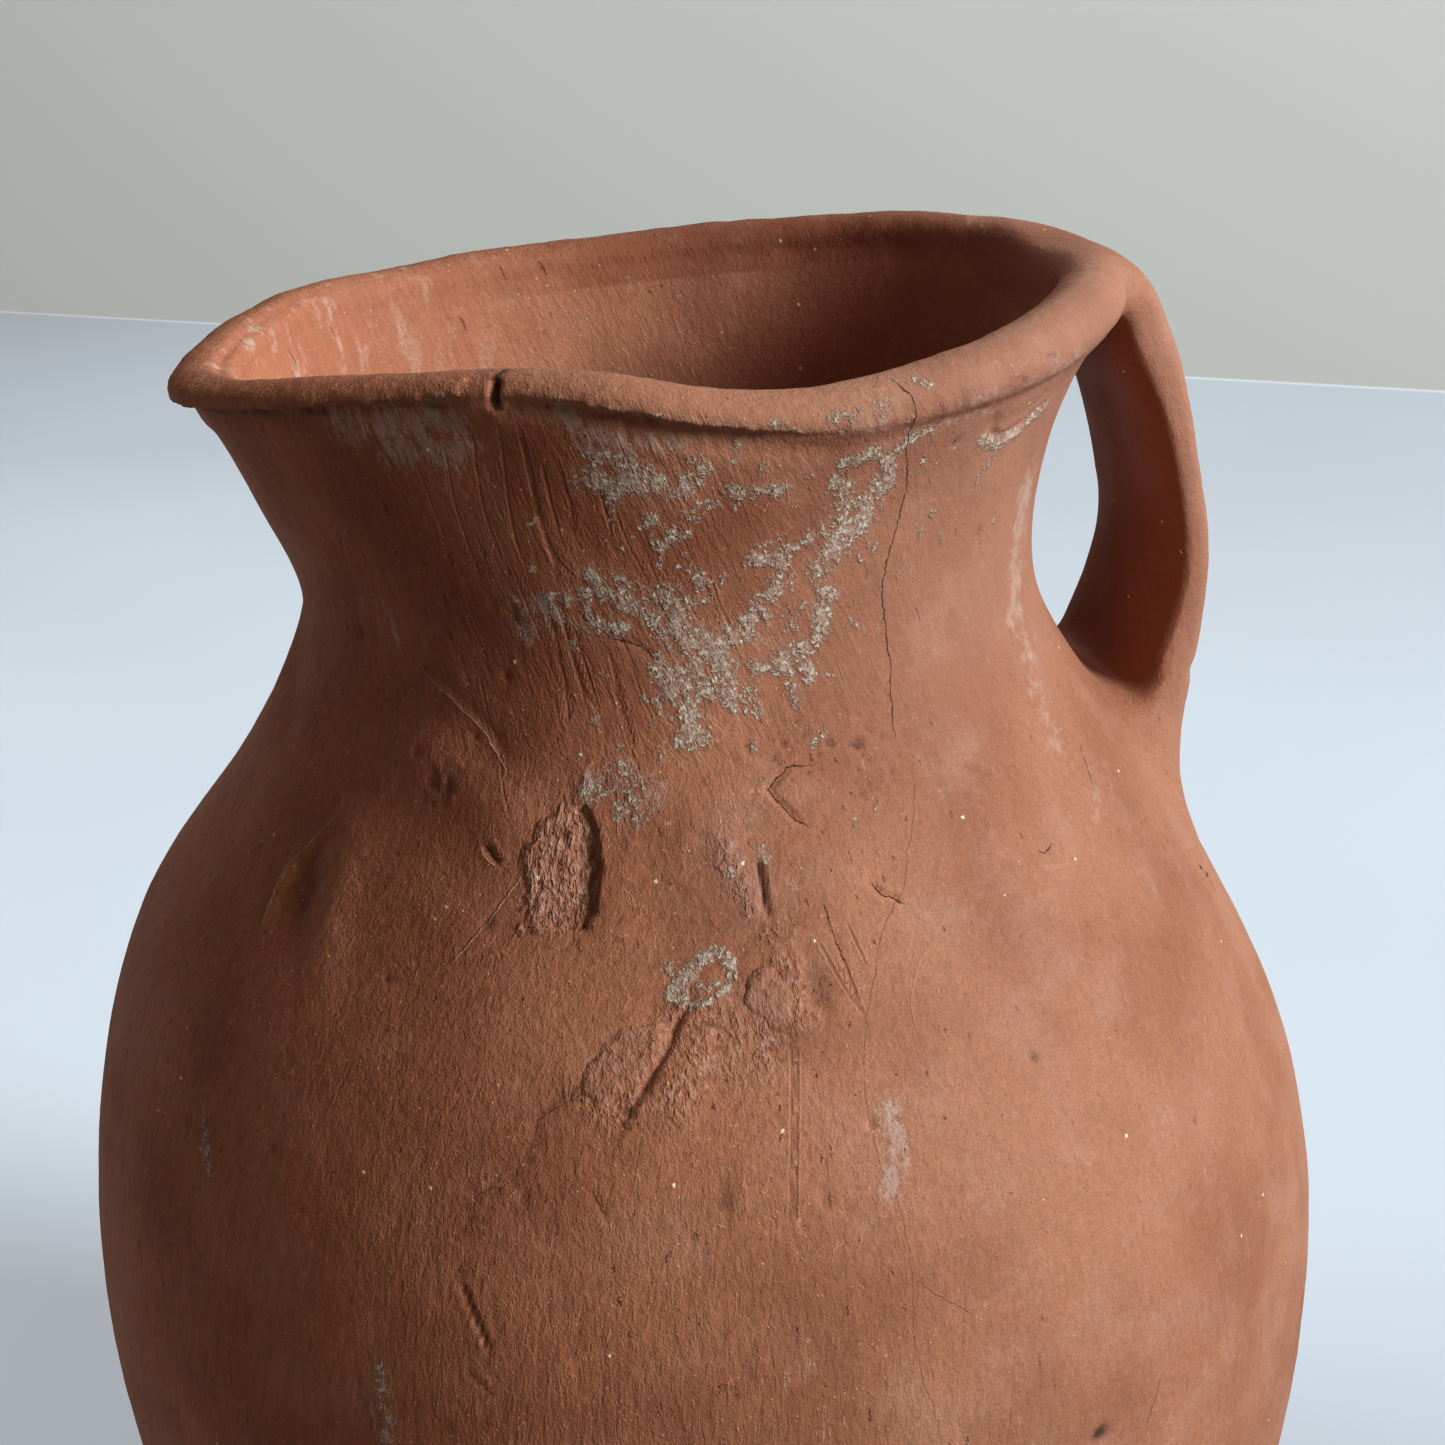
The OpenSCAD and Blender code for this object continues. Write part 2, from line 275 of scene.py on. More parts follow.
add_rows(
    "lip_cap",
    (top_out + top_in) / 2 + (top_out - top_in) / 2 * np.cos(t_cap),
    crest[None, :] - LIP_HALF + LIP_HALF * np.sin(t_cap) ** 0.9,
)
lip_share = (np.arange(1, 7) / 7)[:, None]
straight(inner_table, "lip_in", crest[None, :] - LIP_HALF - (LIP_H - LIP_HALF) * lip_share)
straight(
    inner_table,
    "neck_in",
    crest[None, :] - LIP_H - (crest[None, :] - LIP_H - SEAM_3) * (np.arange(46) / 46)[:, None],
)
straight(inner_table, "shoulder_in", level_rows(SEAM_3, SEAM_2, 22))
straight(inner_table, "belly_in", level_rows(SEAM_2, SEAM_1, 16))
lower_rows = np.concatenate([level_rows(SEAM_1, SLAB_TOP, 16), np.full((1, NC), SLAB_TOP)])
straight(inner_table, "lower_in", lower_rows)

R = np.concatenate(rows_r)
Z = np.concatenate(rows_z)
NR = len(R)
CREST_ROW = spans["lip_cap"][0] + CAP_ROWS // 2
for _ in range(4):
    lo, hi = spans["neck_out"][1] - 4, spans["lip_in"][1] + 4
    R[lo:hi] = (R[lo - 1 : hi - 1] + 2 * R[lo:hi] + R[lo + 1 : hi + 1]) / 4
    Z[lo:hi] = (Z[lo - 1 : hi - 1] + 2 * Z[lo:hi] + Z[lo + 1 : hi + 1]) / 4


def grid_normals(p):
    """Unit normals of a grid of points that closes round its columns, pointing out of the clay."""
    across = np.roll(p, -1, 1) - np.roll(p, 1, 1)
    up = np.gradient(p, axis=0)
    n = np.cross(across, up)
    return n / np.linalg.norm(n, axis=-1, keepdims=True)


base = np.stack([R * np.cos(col), R * np.sin(col), Z], -1)
base_n = grid_normals(base)
step = np.linalg.norm(np.diff(base, axis=0), axis=-1)
arc = np.concatenate([np.zeros((1, NC)), np.cumsum(step, 0)])
from_crest = np.abs(arc - arc[CREST_ROW])
is_out = (np.arange(NR) <= CREST_ROW)[:, None] & np.ones((1, NC), bool)
is_in = ~is_out

# ---------------------------------------------------------------- marks, in degrees and mm of height

mean_z = Z[: CREST_ROW + 1].mean(1)
mean_s = arc[: CREST_ROW + 1].mean(1)
mean_r = R[: CREST_ROW + 1].mean(1)


def s_of(z):
    return np.interp(z, mean_z, mean_s)


flat = base.reshape(-1, 3)
V_TH = np.broadcast_to(columns, (NR, NC)).ravel()
V_Z = Z.ravel()
V_S = s_of(V_Z)
V_R = R.ravel()
V_OUT = is_out.ravel()
MARKS_FROM = 60.0
WORK = np.nonzero(V_OUT & (V_Z > MARKS_FROM))[0]
W_TH, W_Z, W_S, W_R = V_TH[WORK], V_Z[WORK], V_S[WORK], V_R[WORK]
WARP_U = noise(flat[WORK], 1.6, 11, 2) * 0.5
WARP_V = noise(flat[WORK], 1.6, 12, 2) * 0.5
lift = np.zeros(NR * NC)
ALL = slice(None)
FIELDS = ["crust", "scuff", "stain", "dark", "pink", "torn", "streak",
          "line_a", "mask_a", "line_b", "mask_b", "line_c", "mask_c", "line_d", "mask_d", "painted_shade"]
field = {k: np.zeros(NR * NC) for k in FIELDS}
LINE_REACH = 1.5
for channel in "abcd":
    field["line_" + channel][:] = LINE_REACH + 0.5


def mark(name, k, value):
    """Raise a field to at least this value at the vertices k."""
    field[name][k] = np.maximum(field[name][k], value)


def curve_through(points, n=6):
    p = np.array(points, float)
    if len(p) < 3:
        t = np.linspace(0, 1, 2)[:, None]
        return p[0] + (p[-1] - p[0]) * t
    q = np.concatenate([[2 * p[0] - p[1]], p, [2 * p[-1] - p[-2]]])
    out = []
    for i in range(1, len(q) - 2):
        for k in range(n):
            t = k / n
            out.append(
                q[i]
                + 0.5 * t * (
                    q[i + 1] - q[i - 1]
                    + t * (2 * q[i - 1] - 5 * q[i] + 4 * q[i + 1] - q[i + 2]
                           + t * (3 * (q[i] - q[i + 1]) + q[i + 2] - q[i - 1]))
                )
            )
    out.append(p[-1])
    return np.array(out)


def near_path(points, reach, warp=0.0):
    """Vertices within reach of a path: their numbers, distance, signed distance and place along it (0 to 1)."""
    p = curve_through(points)
    r_mid = np.interp(p[:, 1].mean(), mean_z, mean_r)
    pad = math.degrees(reach / r_mid) * 1.4
    mid = (p[:, 0].min() + p[:, 0].max()) / 2
    half = (p[:, 0].max() - p[:, 0].min()) / 2 + pad
    near = (
        (np.abs(wrap(W_TH - mid)) < half)
        & (W_Z > p[:, 1].min() - reach * 1.2)
        & (W_Z < p[:, 1].max() + reach * 1.2)
    )
    sel = np.nonzero(near)[0]
    th, s, r = W_TH[sel], W_S[sel] + warp * WARP_V[sel], W_R[sel]
    best = np.full(len(sel), 1e9)
    side = np.zeros(len(sel))
    along = np.zeros(len(sel))
    ps = s_of(p[:, 1])
    n = len(p) - 1
    for i in range(n):
        ax = r * np.radians(wrap(th - p[i, 0])) + warp * WARP_U[sel]
        ay = s - ps[i]
        ex = r * math.radians(p[i + 1, 0] - p[i, 0])
        ey = ps[i + 1] - ps[i]
        t = np.clip((ax * ex + ay * ey) / (ex**2 + ey**2 + 1e-9), 0, 1)
        d = np.hypot(ax - t * ex, ay - t * ey)
        closer = d < best
        best = np.where(closer, d, best)
        side = np.where(closer, np.sign(ex * ay - ey * ax) * d, side)
        along = np.where(closer, (i + t) / n, along)
    keep = best < reach
    return WORK[sel[keep]], best[keep], side[keep], along[keep]


def near_spot(th, z, reach, turn=0.0, warp=0.0):
    """Vertices round a spot, with their places to the right and up in mm, turned by an angle in degrees."""
    r0 = np.interp(z, mean_z, mean_r)
    near = (np.abs(wrap(W_TH - th)) < math.degrees(reach / r0) * 1.5) & (np.abs(W_S - s_of(z)) < reach * 1.3)
    sel = np.nonzero(near)[0]
    u = W_R[sel] * np.radians(wrap(W_TH[sel] - th)) + warp * WARP_U[sel]
    v = W_S[sel] - s_of(z) + warp * WARP_V[sel]
    c, s = math.cos(math.radians(turn)), math.sin(math.radians(turn))
    return WORK[sel], c * u + s * v, -s * u + c * v


def groove(points, width, depth, rim=0.0, warp=0.3, taper=0.12):
    """Press a groove of this half width and depth along a path; a negative depth raises a ridge."""
    k, d, _, t = near_path(points, width * 4, warp)
    ends = smooth(0, taper, t) * smooth(0, taper, 1 - t) if taper else 1
    lift[k] -= depth * bell(d, width) * ends
    if rim:
        lift[k] += rim * bell(d - 1.9 * width, width * 0.8) * ends


def paint(name, points, width, strength=1.0, warp=0.8):
    """Raise a field along a path, fading with the distance from it."""
    k, d, _, _ = near_path(points, width * 3, warp)
    mark(name, k, strength * bell(d, width))


def paint_rows(name, table, warp=0.8, widen=1.0, weaken=1.0):
    """Paint strokes from rows of width, strength, and the angle and height of each point."""
    for width, strength, *places in table:
        paint(name, list(zip(places[::2], places[1::2])), width * widen, weaken * strength, warp)


def draw(channel, points, strength=1.0, warp=0.35):
    """A thin dark line, kept as a signed distance and a mask so that it stays finer than the mesh."""
    k, d, side, t = near_path(points, LINE_REACH, warp)
    better = d < np.abs(field["line_" + channel][k])
    k, d, side, t = k[better], d[better], side[better], t[better]
    field["line_" + channel][k] = side
    fade = smooth(0, 0.06, t) * smooth(0, 0.06, 1 - t)
    field["mask_" + channel][k] = np.clip(1 - d / LINE_REACH, 0, 1) * strength * (0.55 + 0.45 * fade)


def dent(th, z, half_u, half_v, depth, turn=0.0, warp=0.4):
    """Press in an oval spot. Gives back its vertices and how much of the full depth each one got."""
    k, u, v = near_spot(th, z, max(half_u, half_v) * 2.2, turn, warp)
    share = np.exp(-(np.hypot(u / half_u, v / half_v) ** 2))
    lift[k] -= depth * share
    return k, share


# broad hand-made unevenness
near_shoulder = bell(V_Z - 158, 12) * (0.35 + 0.65 * smooth(-95, -125, V_TH) * (V_TH < 0))
lump_amount = np.where(V_OUT, 0.16 + 0.55 * near_shoulder, 0.25)
foot_fade = smooth(0, 14, V_Z)
lift += lump_amount * noise(flat, 11, 3, 2) * foot_fade
lift += np.where(V_OUT, 0.28, 0.3) * noise(flat, 34, 4) * foot_fade
lift += np.where(V_OUT, 0.05, 0.04) * noise(flat, 3.2, 5, 2) * foot_fade
grain = noise(flat, 0.9, 6, 2)
lift += 0.022 * grain

# the lip: a pressed roll with a rough undercut, from the spout to the middle of the front
UNDER = [
    (-180, 1.1, 6.0), (-165, 1.05, 5.7), (-150, 1.0, 5.0), (-138, 0.8, 4.5), (-135.2, 0.6, 4.4),
    (-134.4, 0.06, 4.3), (-130.4, 0.05, 4.4), (-128.6, 0.5, 4.5), (-122, 0.85, 4.7), (-112, 1.0, 5.1),
    (-104, 0.95, 5.4), (-98, 0.6, 5.6), (-92, 0.3, 5.8), (-84, 0.16, 6.0), (-70, 0.12, 6.2),
    (-55, 0.08, 6.4), (-40, 0.0, 6.4), (0, 0.0, 6.0), (35, 0.1, 5.5), (60, 0.3, 5.2), (100, 0.45, 5.0),
    (140, 0.7, 5.1), (165, 1.0, 5.7), (180, 1.1, 6.0),
]
under = np.array(UNDER)
u_depth = np.interp(V_TH, under[:, 0], under[:, 1])
u_place = np.interp(V_TH, under[:, 0], under[:, 2])
edge_noise = noise(flat * np.array([1, 1, 0.15]), 0.9, 21, 2)
w = from_crest.ravel() + 0.32 * edge_noise
roll = V_OUT * (from_crest.ravel() < 16)
lift -= roll * u_depth * smooth(-0.35, 0.25, w - u_place) * (1 - smooth(0.5, 4.2, w - u_place))
lift += roll * (0.22 * np.clip(u_depth * 1.5, 0, 1)) * bell(w - u_place + 1.3, 1.3)
ridge_part = smooth(-99, -90, V_TH) * (1 - smooth(-50, -36, V_TH)) * (V_TH < 0)
lift += roll * ridge_part * (0.26 + 0.16 * edge_noise) * bell(w - u_place - 0.2, 1.1)
lift -= roll * ridge_part * 0.22 * bell(w - u_place - 2.4, 1.1)
lift += roll * smooth(-97, -82, V_TH) * (1 - smooth(10, 30, V_TH)) * 0.5 * bell(w - u_place - 1.2, 3.0)
rough_band = roll * bell(w - u_place + 0.3, 0.6) * np.clip(u_depth * 1.6, 0, 1)
lift += rough_band * 0.2 * noise(flat, 0.9, 22)
lip_body = (from_crest.ravel() < 7.5).astype(float)
lift += lip_body * (0.10 * noise(flat, 1.7, 23, 2) + 0.12 * noise(flat, 5.0, 24))
# painted shade: a dark band under the roll where it is undercut, and a weaker one under the lip by the spout
undercut_shade = roll * bell(w - u_place - 0.9, 0.95) * np.clip(u_depth * 1.3, 0, 1)
mark("dark", ALL, undercut_shade * (0.42 + 0.35 * noise(flat, 1.4, 27)))
spout_part = bell(wrap(V_TH - 180), 24)
mark("dark", ALL, 0.2 * roll * spout_part * bell(w - u_place + 0.2, 2.0))
mark("crust", ALL, 0.42 * rough_band)
spout_grit = roll * bell(wrap(V_TH + 163), 14) * bell(w - u_place - 1.1, 0.8)
mark("crust", ALL, 0.42 * spout_grit)
mark("stain", ALL, roll * ridge_part * 0.5 * bell(w - u_place, 1.0))
lift -= (from_crest.ravel() < 4) * is_in.ravel() * spout_part * 0.35 * bell(from_crest.ravel() - 1.8, 0.6)

# the rim dips on its far side, just before the handle
lift -= 1.9 * bell(wrap(V_TH - 3), 10) * smooth(7, 2, from_crest.ravel())
lift += 0.5 * bell(wrap(V_TH - 38), 13) * smooth(7, 2, from_crest.ravel())

# the notch in the lip and the flush step beside it
groove([(-130.5, 204.6), (-130.1, 200.8)], 0.45, 1.1, rim=0.04, warp=0.3, taper=0.1)
k, d, _, t = near_path([(-130.5, 204.3), (-130.0, 200.3)], 2.4, 0.3)
mark("dark", k, 1.0 * bell(d, 0.5) * smooth(1.0, 0.7, t))
groove([(-134.0, 202.8), (-134.6, 197.0)], 0.35, 0.28, warp=0.2)

# tool grooves that run down the neck
TOOL = [
    [(-130.4, 200.2), (-130.2, 194.8), (-129.8, 189.6), (-128.8, 185.4)],
    [(-127.4, 199.2), (-126.4, 194.1), (-125.3, 187.8), (-123.6, 183.4)],
    [(-134.1, 198.7), (-133.7, 191.3), (-131.6, 185.1)],
    [(-138.3, 197.3), (-137.4, 189.9), (-134.7, 182.7)],
    [(-128, 200.5), (-127.1, 195.3), (-125.8, 189.3), (-124, 185.8), (-121.7, 183.9)],
    [(-123.1, 196.5), (-122.2, 193.2), (-121.4, 189.3)],
    [(-125.1, 195.4), (-124.4, 192.1), (-123.7, 189.2)],
    [(-117.9, 192.9), (-117.2, 190.5), (-116.7, 188.5)],
    [(-125.8, 181.3), (-124.4, 175.9), (-123.4, 171.6), (-122.8, 168.5)],
    [(-124.3, 180.8), (-122.5, 175.4), (-120.8, 170.7)],
    [(-122.6, 179.3), (-120.2, 172.9), (-118.7, 169.3)],
    [(-142.2, 193.9), (-140.8, 190), (-139.5, 186.6)],
    [(-117.5, 176), (-116, 171), (-114, 166.5)],
]
for i, p in enumerate(TOOL):
    draw("c", p, 1, 0.12)
    groove(p, 0.34, 0.06 if i in (0, 4, 8, 9) else 0.025, rim=0.02, warp=0.12)
rng = np.random.default_rng(5)
for _ in range(120):
    a0 = rng.uniform(-28, 192)
    z0 = rng.uniform(60, 190)
    length = rng.uniform(5, 22)
    p = [(a0, z0), (a0 + rng.uniform(-0.2, 0.2) * length, z0 - length)]
    draw("c", p, rng.uniform(0.2, 0.5), 0.1)
for _ in range(90):
    a0 = rng.uniform(-152, -104)
    z0 = rng.uniform(166, 199)
    length = rng.uniform(3, 11)
    p = [(a0, z0), (a0 + length * 0.22, z0 - length * 0.55), (a0 + length * 0.5, z0 - length)]
    draw("c", p, rng.uniform(0.3, 0.75), 0.1)
for _ in range(110):
    a0 = rng.uniform(-168, -28)
    z0 = rng.uniform(92, 150)
    length = rng.uniform(5, 20)
    drift = rng.uniform(-0.16, 0.08)
    p = [(a0, z0), (a0 + drift * length, z0 - length)]
    draw("c", p, rng.uniform(0.2, 0.5), 0.1)
for p in (
    [(-96.4, 139.9), (-97.1, 132.9), (-97.7, 125)], [(-95.9, 139.9), (-96.6, 132.9), (-97.2, 125)],
    [(-92.4, 148.4), (-90.2, 144), (-88.8, 142)], [(-88.9, 149.6), (-87.5, 145.9)],
    [(-89.9, 146.4), (-88.8, 142)],
):
    draw("c", p, 1, 0.08)

# crater of torn clay with upright ridges, deepest along its right edge
k, u, v = near_spot(-121.6, 154.9, 10, -3, 0.9)
left = np.interp(v, [-7.5, -5, -2, 0.5, 4, 7.5], [-2.6, -3, -3, -4.6, -3, -0.6])
right = np.interp(v, [-7.5, -4, 0, 4, 7.5], [3.4, 4.4, 4, 3.1, 1.4])
jag = noise(flat[k] * np.array([1, 1, 0.3]), 0.8, 34, 2)
body = smooth(-0.4, 0.4, u - left + jag) * smooth(0.3, -0.3, u - right)
body = body * smooth(7.4, 6.2, np.abs(v + 1.6 * jag))
deep = smooth(-4.5, 3.6, u)
ridged = 1 - np.abs(noise(flat[k] * np.array([1, 1, 0.2]), 1, 31, 2)) * 2
lift[k] -= body * (0.12 + 0.8 * deep**1.8)
lift[k] += body * ridged * 0.34 * (1 - 0.3 * deep)
lift[k] += 0.3 * bell(u - 6.4, 2.2) * bell(v + 1, 6)
mark("torn", k, body)
mark("pink", k, body * (0.45 - 0.3 * deep))
# painted shade along the steep right wall of the crater
mark("dark", k, 0.3 * body * smooth(1.3, 0.1, np.abs(u - right + 0.7)) * smooth(-5, -1, v))

# slit and the smear and white speck beside it
SLIT = [(-98.4, 156), (-98.1, 153.6), (-97.6, 150.6)]
groove(SLIT, 0.34, 0.6, rim=0.06, warp=0.2)
k, d, _, t = near_path(SLIT, 2, 0.2)
mark("dark", k, 1.1 * bell(d, 0.26) * smooth(1, 0.7, t) * smooth(0, 0.15, t))
for a0, z0, size in ((-102.6, 157.2, 1.3), (-101.4, 155.4, 1.5), (-100.2, 153.6, 1.6), (-99.6, 151.8, 1.2)):
    k, share = dent(a0, z0, size, size * 1.3, -0.08, 25, 0.8)
    mark("torn", k, 0.8 * share)
    mark("pink", k, 0.8 * share)
paint("stain", [(-98.2, 156.8), (-98, 156.4)], 0.55, 1)
paint("crust", [(-98.2, 156.9), (-97.6, 156)], 0.5, 0.75)

# curved crack with a lifted edge, small crack, ring-like mark and pits on the right
ARC = [
    (-90.5, 163.9), (-92.8, 163.9), (-94.4, 163.4), (-95.5, 162.7), (-96.5, 162.1), (-96.1, 161.5),
    (-95.4, 160.7), (-94.4, 160.2), (-93.8, 159.6), (-92.9, 159.1), (-92.2, 158.6),
]
groove(ARC, 0.36, 0.2, rim=0.1, warp=0.9)
draw("a", ARC, 1, 0.9)
dent(-92.6, 161.3, 2.6, 2.2, -0.25)
CRACK_2 = [(-85, 152.6), (-84.6, 152.1), (-83.9, 151.5), (-83.1, 151.3), (-81.8, 150.5)]
groove(CRACK_2, 0.36, 0.25, rim=0.1, warp=0.4)
draw("b", CRACK_2, 1, 0.4)
for _ in range(46):
    a0, z0 = rng.normal(-89, 5.5), rng.normal(164.5, 2.2)
    size = rng.uniform(0.25, 0.5)
    k, share = dent(a0, z0, size, size, rng.uniform(0.05, 0.25))
    mark("dark", k, rng.uniform(0.2, 0.75) * share)
groove([(-60.4, 152.6), (-55.5, 152.9), (-50.5, 151.2), (-48.4, 148.9)], 0.5, 0.09, rim=0.05)
paint("stain", [(-52.6, 152.6), (-49.8, 150.8), (-48.4, 148.6)], 0.8, 0.5)
paint("stain", [(-60.6, 149.6), (-57, 149)], 0.9, 0.35)
dent(-59.1, 150.8, 0.6, 0.5, 0.35)
draw("b", [(-60.4, 151.3), (-59.2, 150.8), (-58, 151.2)], 0.8)
H_CRACK = [(-40.6, 156.9), (-41.6, 155.3), (-43.2, 153.4)]
groove(H_CRACK, 0.4, 0.22, rim=0.1)
draw("a", H_CRACK, 0.9)
paint("stain", [(-43.4, 153.2), (-45.4, 151.8), (-47, 151)], 0.8, 0.55)

# scoop with a thin raised edge by the left outline, and the dents near it
SCOOP = [(-154.3, 154.4), (-157.2, 150.8), (-158.8, 147.1), (-157.4, 141.8)]
k, share = dent(-154.3, 147.5, 3, 5.6, 0.8, 14, 0.4)
# painted shade inside the scoop
mark("dark", k, 0.5 * share)
lift[k] += 0.16 * share * noise(flat[k], 0.9, 35)
dent(-148.5, 146, 3.2, 6.5, -0.5, 10)
groove(SCOOP, 0.36, -0.12, warp=0.4)
draw("d", SCOOP, 1, 0.4)
groove([(p[0] + 1.8, p[1]) for p in SCOOP], 0.8, 0.22, warp=0.4)
dent(-145.5, 157, 6, 4, 0.5, 0)
dent(-134, 164.5, 7, 3.2, 0.45, -20)
dent(-128.5, 159.5, 4, 5, -0.4, 0)
dent(-150, 166, 6, 3, 0.5, 18)
dent(-113.5, 158.5, 5, 6, 0.35, 0)
dent(-108, 150.5, 6.5, 3.4, 0.28, 0)
k, share = dent(-139.2, 160.7, 2.2, 2.6, 0.15, 0, 0.6)
lift[k] += 0.3 * share * noise(flat[k], 0.9, 33)
mark("dark", k, 0.5 * share)
groove([(-131.2, 156), (-130, 155.1), (-129, 154.5)], 0.34, 0.4, rim=0.08, warp=0.5)
draw("b", [(-131.6, 156.2), (-130, 155.1), (-128.8, 154.4)], 1, 0.6)
draw("d", [(-131.8, 155.6), (-130.6, 154.6), (-129.4, 154.2)], 0.8, 0.6)
SCRATCH = [(-126.2, 153.6), (-128.8, 149.6), (-131.6, 145.4)]
groove(SCRATCH, 0.34, 0.06, rim=0.03, warp=0.1)
draw("d", SCRATCH, 1, 0.1)
FOLD = [(-145.9, 171.9), (-142, 169.7), (-138.5, 168.2), (-135.7, 166.7), (-132.8, 164.9), (-130.6, 162.7)]
groove(FOLD, 0.4, -0.06, warp=0.5)
draw("d", FOLD, 1, 0.5)
groove([(a, z + 1.1) for a, z in FOLD], 0.6, 0.1, warp=0.35)
CURL = [(-157.2, 176.9), (-153, 177.4), (-150.4, 176.5), (-149.9, 173.7)]
draw("d", CURL, 1, 0.4)
paint("scuff", CURL, 0.8, 0.4)

# pressed and torn clay below the middle of the front
EDGE = [(-106, 144.2), (-107.4, 142), (-109.2, 138.8), (-110.6, 135.9)]
groove(EDGE, 0.36, 0.26, warp=0.7)
k, d, side, t = near_path(EDGE, 8, 0.3)
lift[k] += 0.34 * smooth(0, 0.5, side) * smooth(7.5, 1, d) * smooth(0, 0.3, t)
lift[k] -= 0.22 * smooth(0, 0.5, -side) * smooth(5, 1, d)
mark("dark", k, 0.5 * bell(d, 0.32) * smooth(0, 0.15, t) * smooth(1, 0.8, t))
mark("torn", k, 0.8 * smooth(0.2, 0.8, -side) * smooth(3.4, 1.2, d))
TORN = [
    (2.4, 0.75, -104.6, 142.4, -105.8, 139, -107.6, 135.6), (2.4, 0.6, -101.6, 141.6, -102.4, 138.4),
    (2.6, 0.8, -98.6, 143.6, -99, 139.6), (2, 0.8, -96.2, 146.6, -95.4, 142.4), (1.2, 0.6, -98, 149.4, -95.6, 149),
    (1.6, 0.7, -116.4, 136.4, -112.8, 134), (0.9, 0.6, -120.8, 160.4, -120.2, 163),
]
paint_rows("torn", TORN, 1)
for x in range(7):
    a0 = -103.2 + 1.15 * x
    groove([(a0, 143.2 - 0.25 * x), (a0 - 0.4, 140.4 - 0.2 * x), (a0 - 0.5, 138.2)], 0.42, 0.14, warp=0.5)
k, share = dent(-93.4, 144.6, 1.3, 3.4, 0.55, 10, 0.6)
mark("dark", k, 0.42 * share)
k, share = dent(-97.2, 140.4, 2.6, 2.2, 0.3, 0, 0.8)
mark("dark", k, 0.35 * share)
dent(-92, 143, 2.6, 4.2, -0.2, 24)
groove([(-90.6, 149.4), (-90, 146), (-89.2, 143)], 0.3, 0.16, rim=0.06, warp=0.1)
groove([(-88.6, 147), (-87.4, 142)], 0.3, 0.1, warp=0.1)
dent(-103, 140, 4.5, 3.6, 0.2, 20)

# dotted crack chain, gouges and pits on the belly
CHAIN = [
    (-115.2, 136.6), (-117.9, 135), (-119.6, 133.5), (-119.9, 131.7), (-121.2, 128), (-124, 126.7),
    (-125, 124.3), (-124.6, 120.3), (-125.3, 118.1),
]
draw("a", CHAIN, 0.5, 0.9)
for i, (a0, z0) in enumerate(curve_through(CHAIN, 5)):
    size = rng.uniform(0.3, 0.55)
    k, share = dent(a0 + rng.normal(0, 0.45), z0 + rng.normal(0, 0.35), size, size * 1.3, 0.11)
    mark("dark", k, 0.65 * rng.uniform(0.5, 1) * share)

GOUGE_1 = [(-124.9, 117.9), (-123.4, 114.7), (-121.9, 111.1)]
groove(GOUGE_1, 0.34, 0.24, rim=0.1, warp=0.15)
k, d, _, t = near_path([(a + 0.3, z) for a, z in GOUGE_1], 1.5, 0.15)
mark("dark", k, 0.7 * bell(d, 0.26) * smooth(1, 0.8, t))
k, d, _, t = near_path([(a - 0.25, z) for a, z in GOUGE_1], 1.5, 0.15)
mark("stain", k, 0.9 * bell(d, 0.3) * smooth(0.3, 0.9, t))
GOUGE_2 = [(-123.9, 109.1), (-122.7, 107.9), (-121.4, 106.7)]
groove(GOUGE_2, 0.34, 0.1, rim=0.04, warp=0.15)
draw("b", GOUGE_2, 0.7, 0.15)
draw("b", [(-114.3, 127.8), (-113.4, 126.1), (-112.5, 124.4)], 0.75, 0.15)
groove([(-114.3, 127.8), (-113.4, 126.1), (-112.5, 124.4)], 0.3, 0.15)
k, share = dent(-102.9, 127.3, 0.9, 2.6, 0.14, 6, 0.5)
mark("dark", k, 0.55 * share)
dent(-144.9, 124.8, 0.6, 0.6, 0.4)
k, share = dent(-71.1, 95.8, 1.3, 0.9, 0.5, 10)
mark("dark", k, 0.9 * share)
for _ in range(34):
    a0, z0 = rng.uniform(-170, -15), rng.uniform(92, 198)
    size = rng.uniform(0.35, 0.75)
    k, share = dent(a0, z0, size, size * rng.uniform(0.8, 1.8), rng.uniform(0.12, 0.35), rng.uniform(-40, 40))
    mark("dark", k, rng.uniform(0.2, 0.7) * share)

# hairline crack down the front and other thin lines
HAIR = [
    (-79.1, 203), (-77.5, 201), (-76.6, 196.4), (-75, 190.8), (-76.8, 184.1), (-77.7, 179.8),
    (-76.5, 172.4), (-77.2, 165.2),
]
HAIR_2 = [
    (-75.2, 163.6), (-76.1, 160.2), (-78, 157), (-79.9, 154.4), (-81.4, 151.5), (-83.2, 150.3),
    (-85.4, 148), (-86.5, 145.4), (-88.1, 142.7), (-89, 140.1), (-89.9, 134.8), (-89.6, 129.7),
    (-88.4, 125.9), (-87.7, 119.6), (-87.9, 113.5), (-87.4, 107.9), (-86.1, 102.1), (-85, 92),
]
draw("a", HAIR, 1, 0.45)
draw("a", HAIR_2, 0.45, 0.45)
draw("b", [(-91.3, 151.5), (-90.7, 149.1), (-89.9, 146.4)], 0.8, 0.15)
draw("b", [(-87.1, 117.5), (-85, 115.5), (-82.6, 113.3)], 0.5, 0.2)
draw("b", [(-64, 98.9), (-65.9, 94.1)], 0.6, 0.2)
draw("d", [(-79.2, 146.8), (-81.4, 145.4), (-82.9, 143.4), (-83.6, 141.8), (-83.6, 139.5)], 0.5, 0.2)
DARK_CURVE = [(-117.1, 177.4), (-113.9, 176.8), (-111.8, 175.6)]
draw("b", DARK_CURVE, 0.9)
groove(DARK_CURVE, 0.35, 0.16)
draw("b", [(-120, 163.5), (-119.2, 160.8)], 0.5)

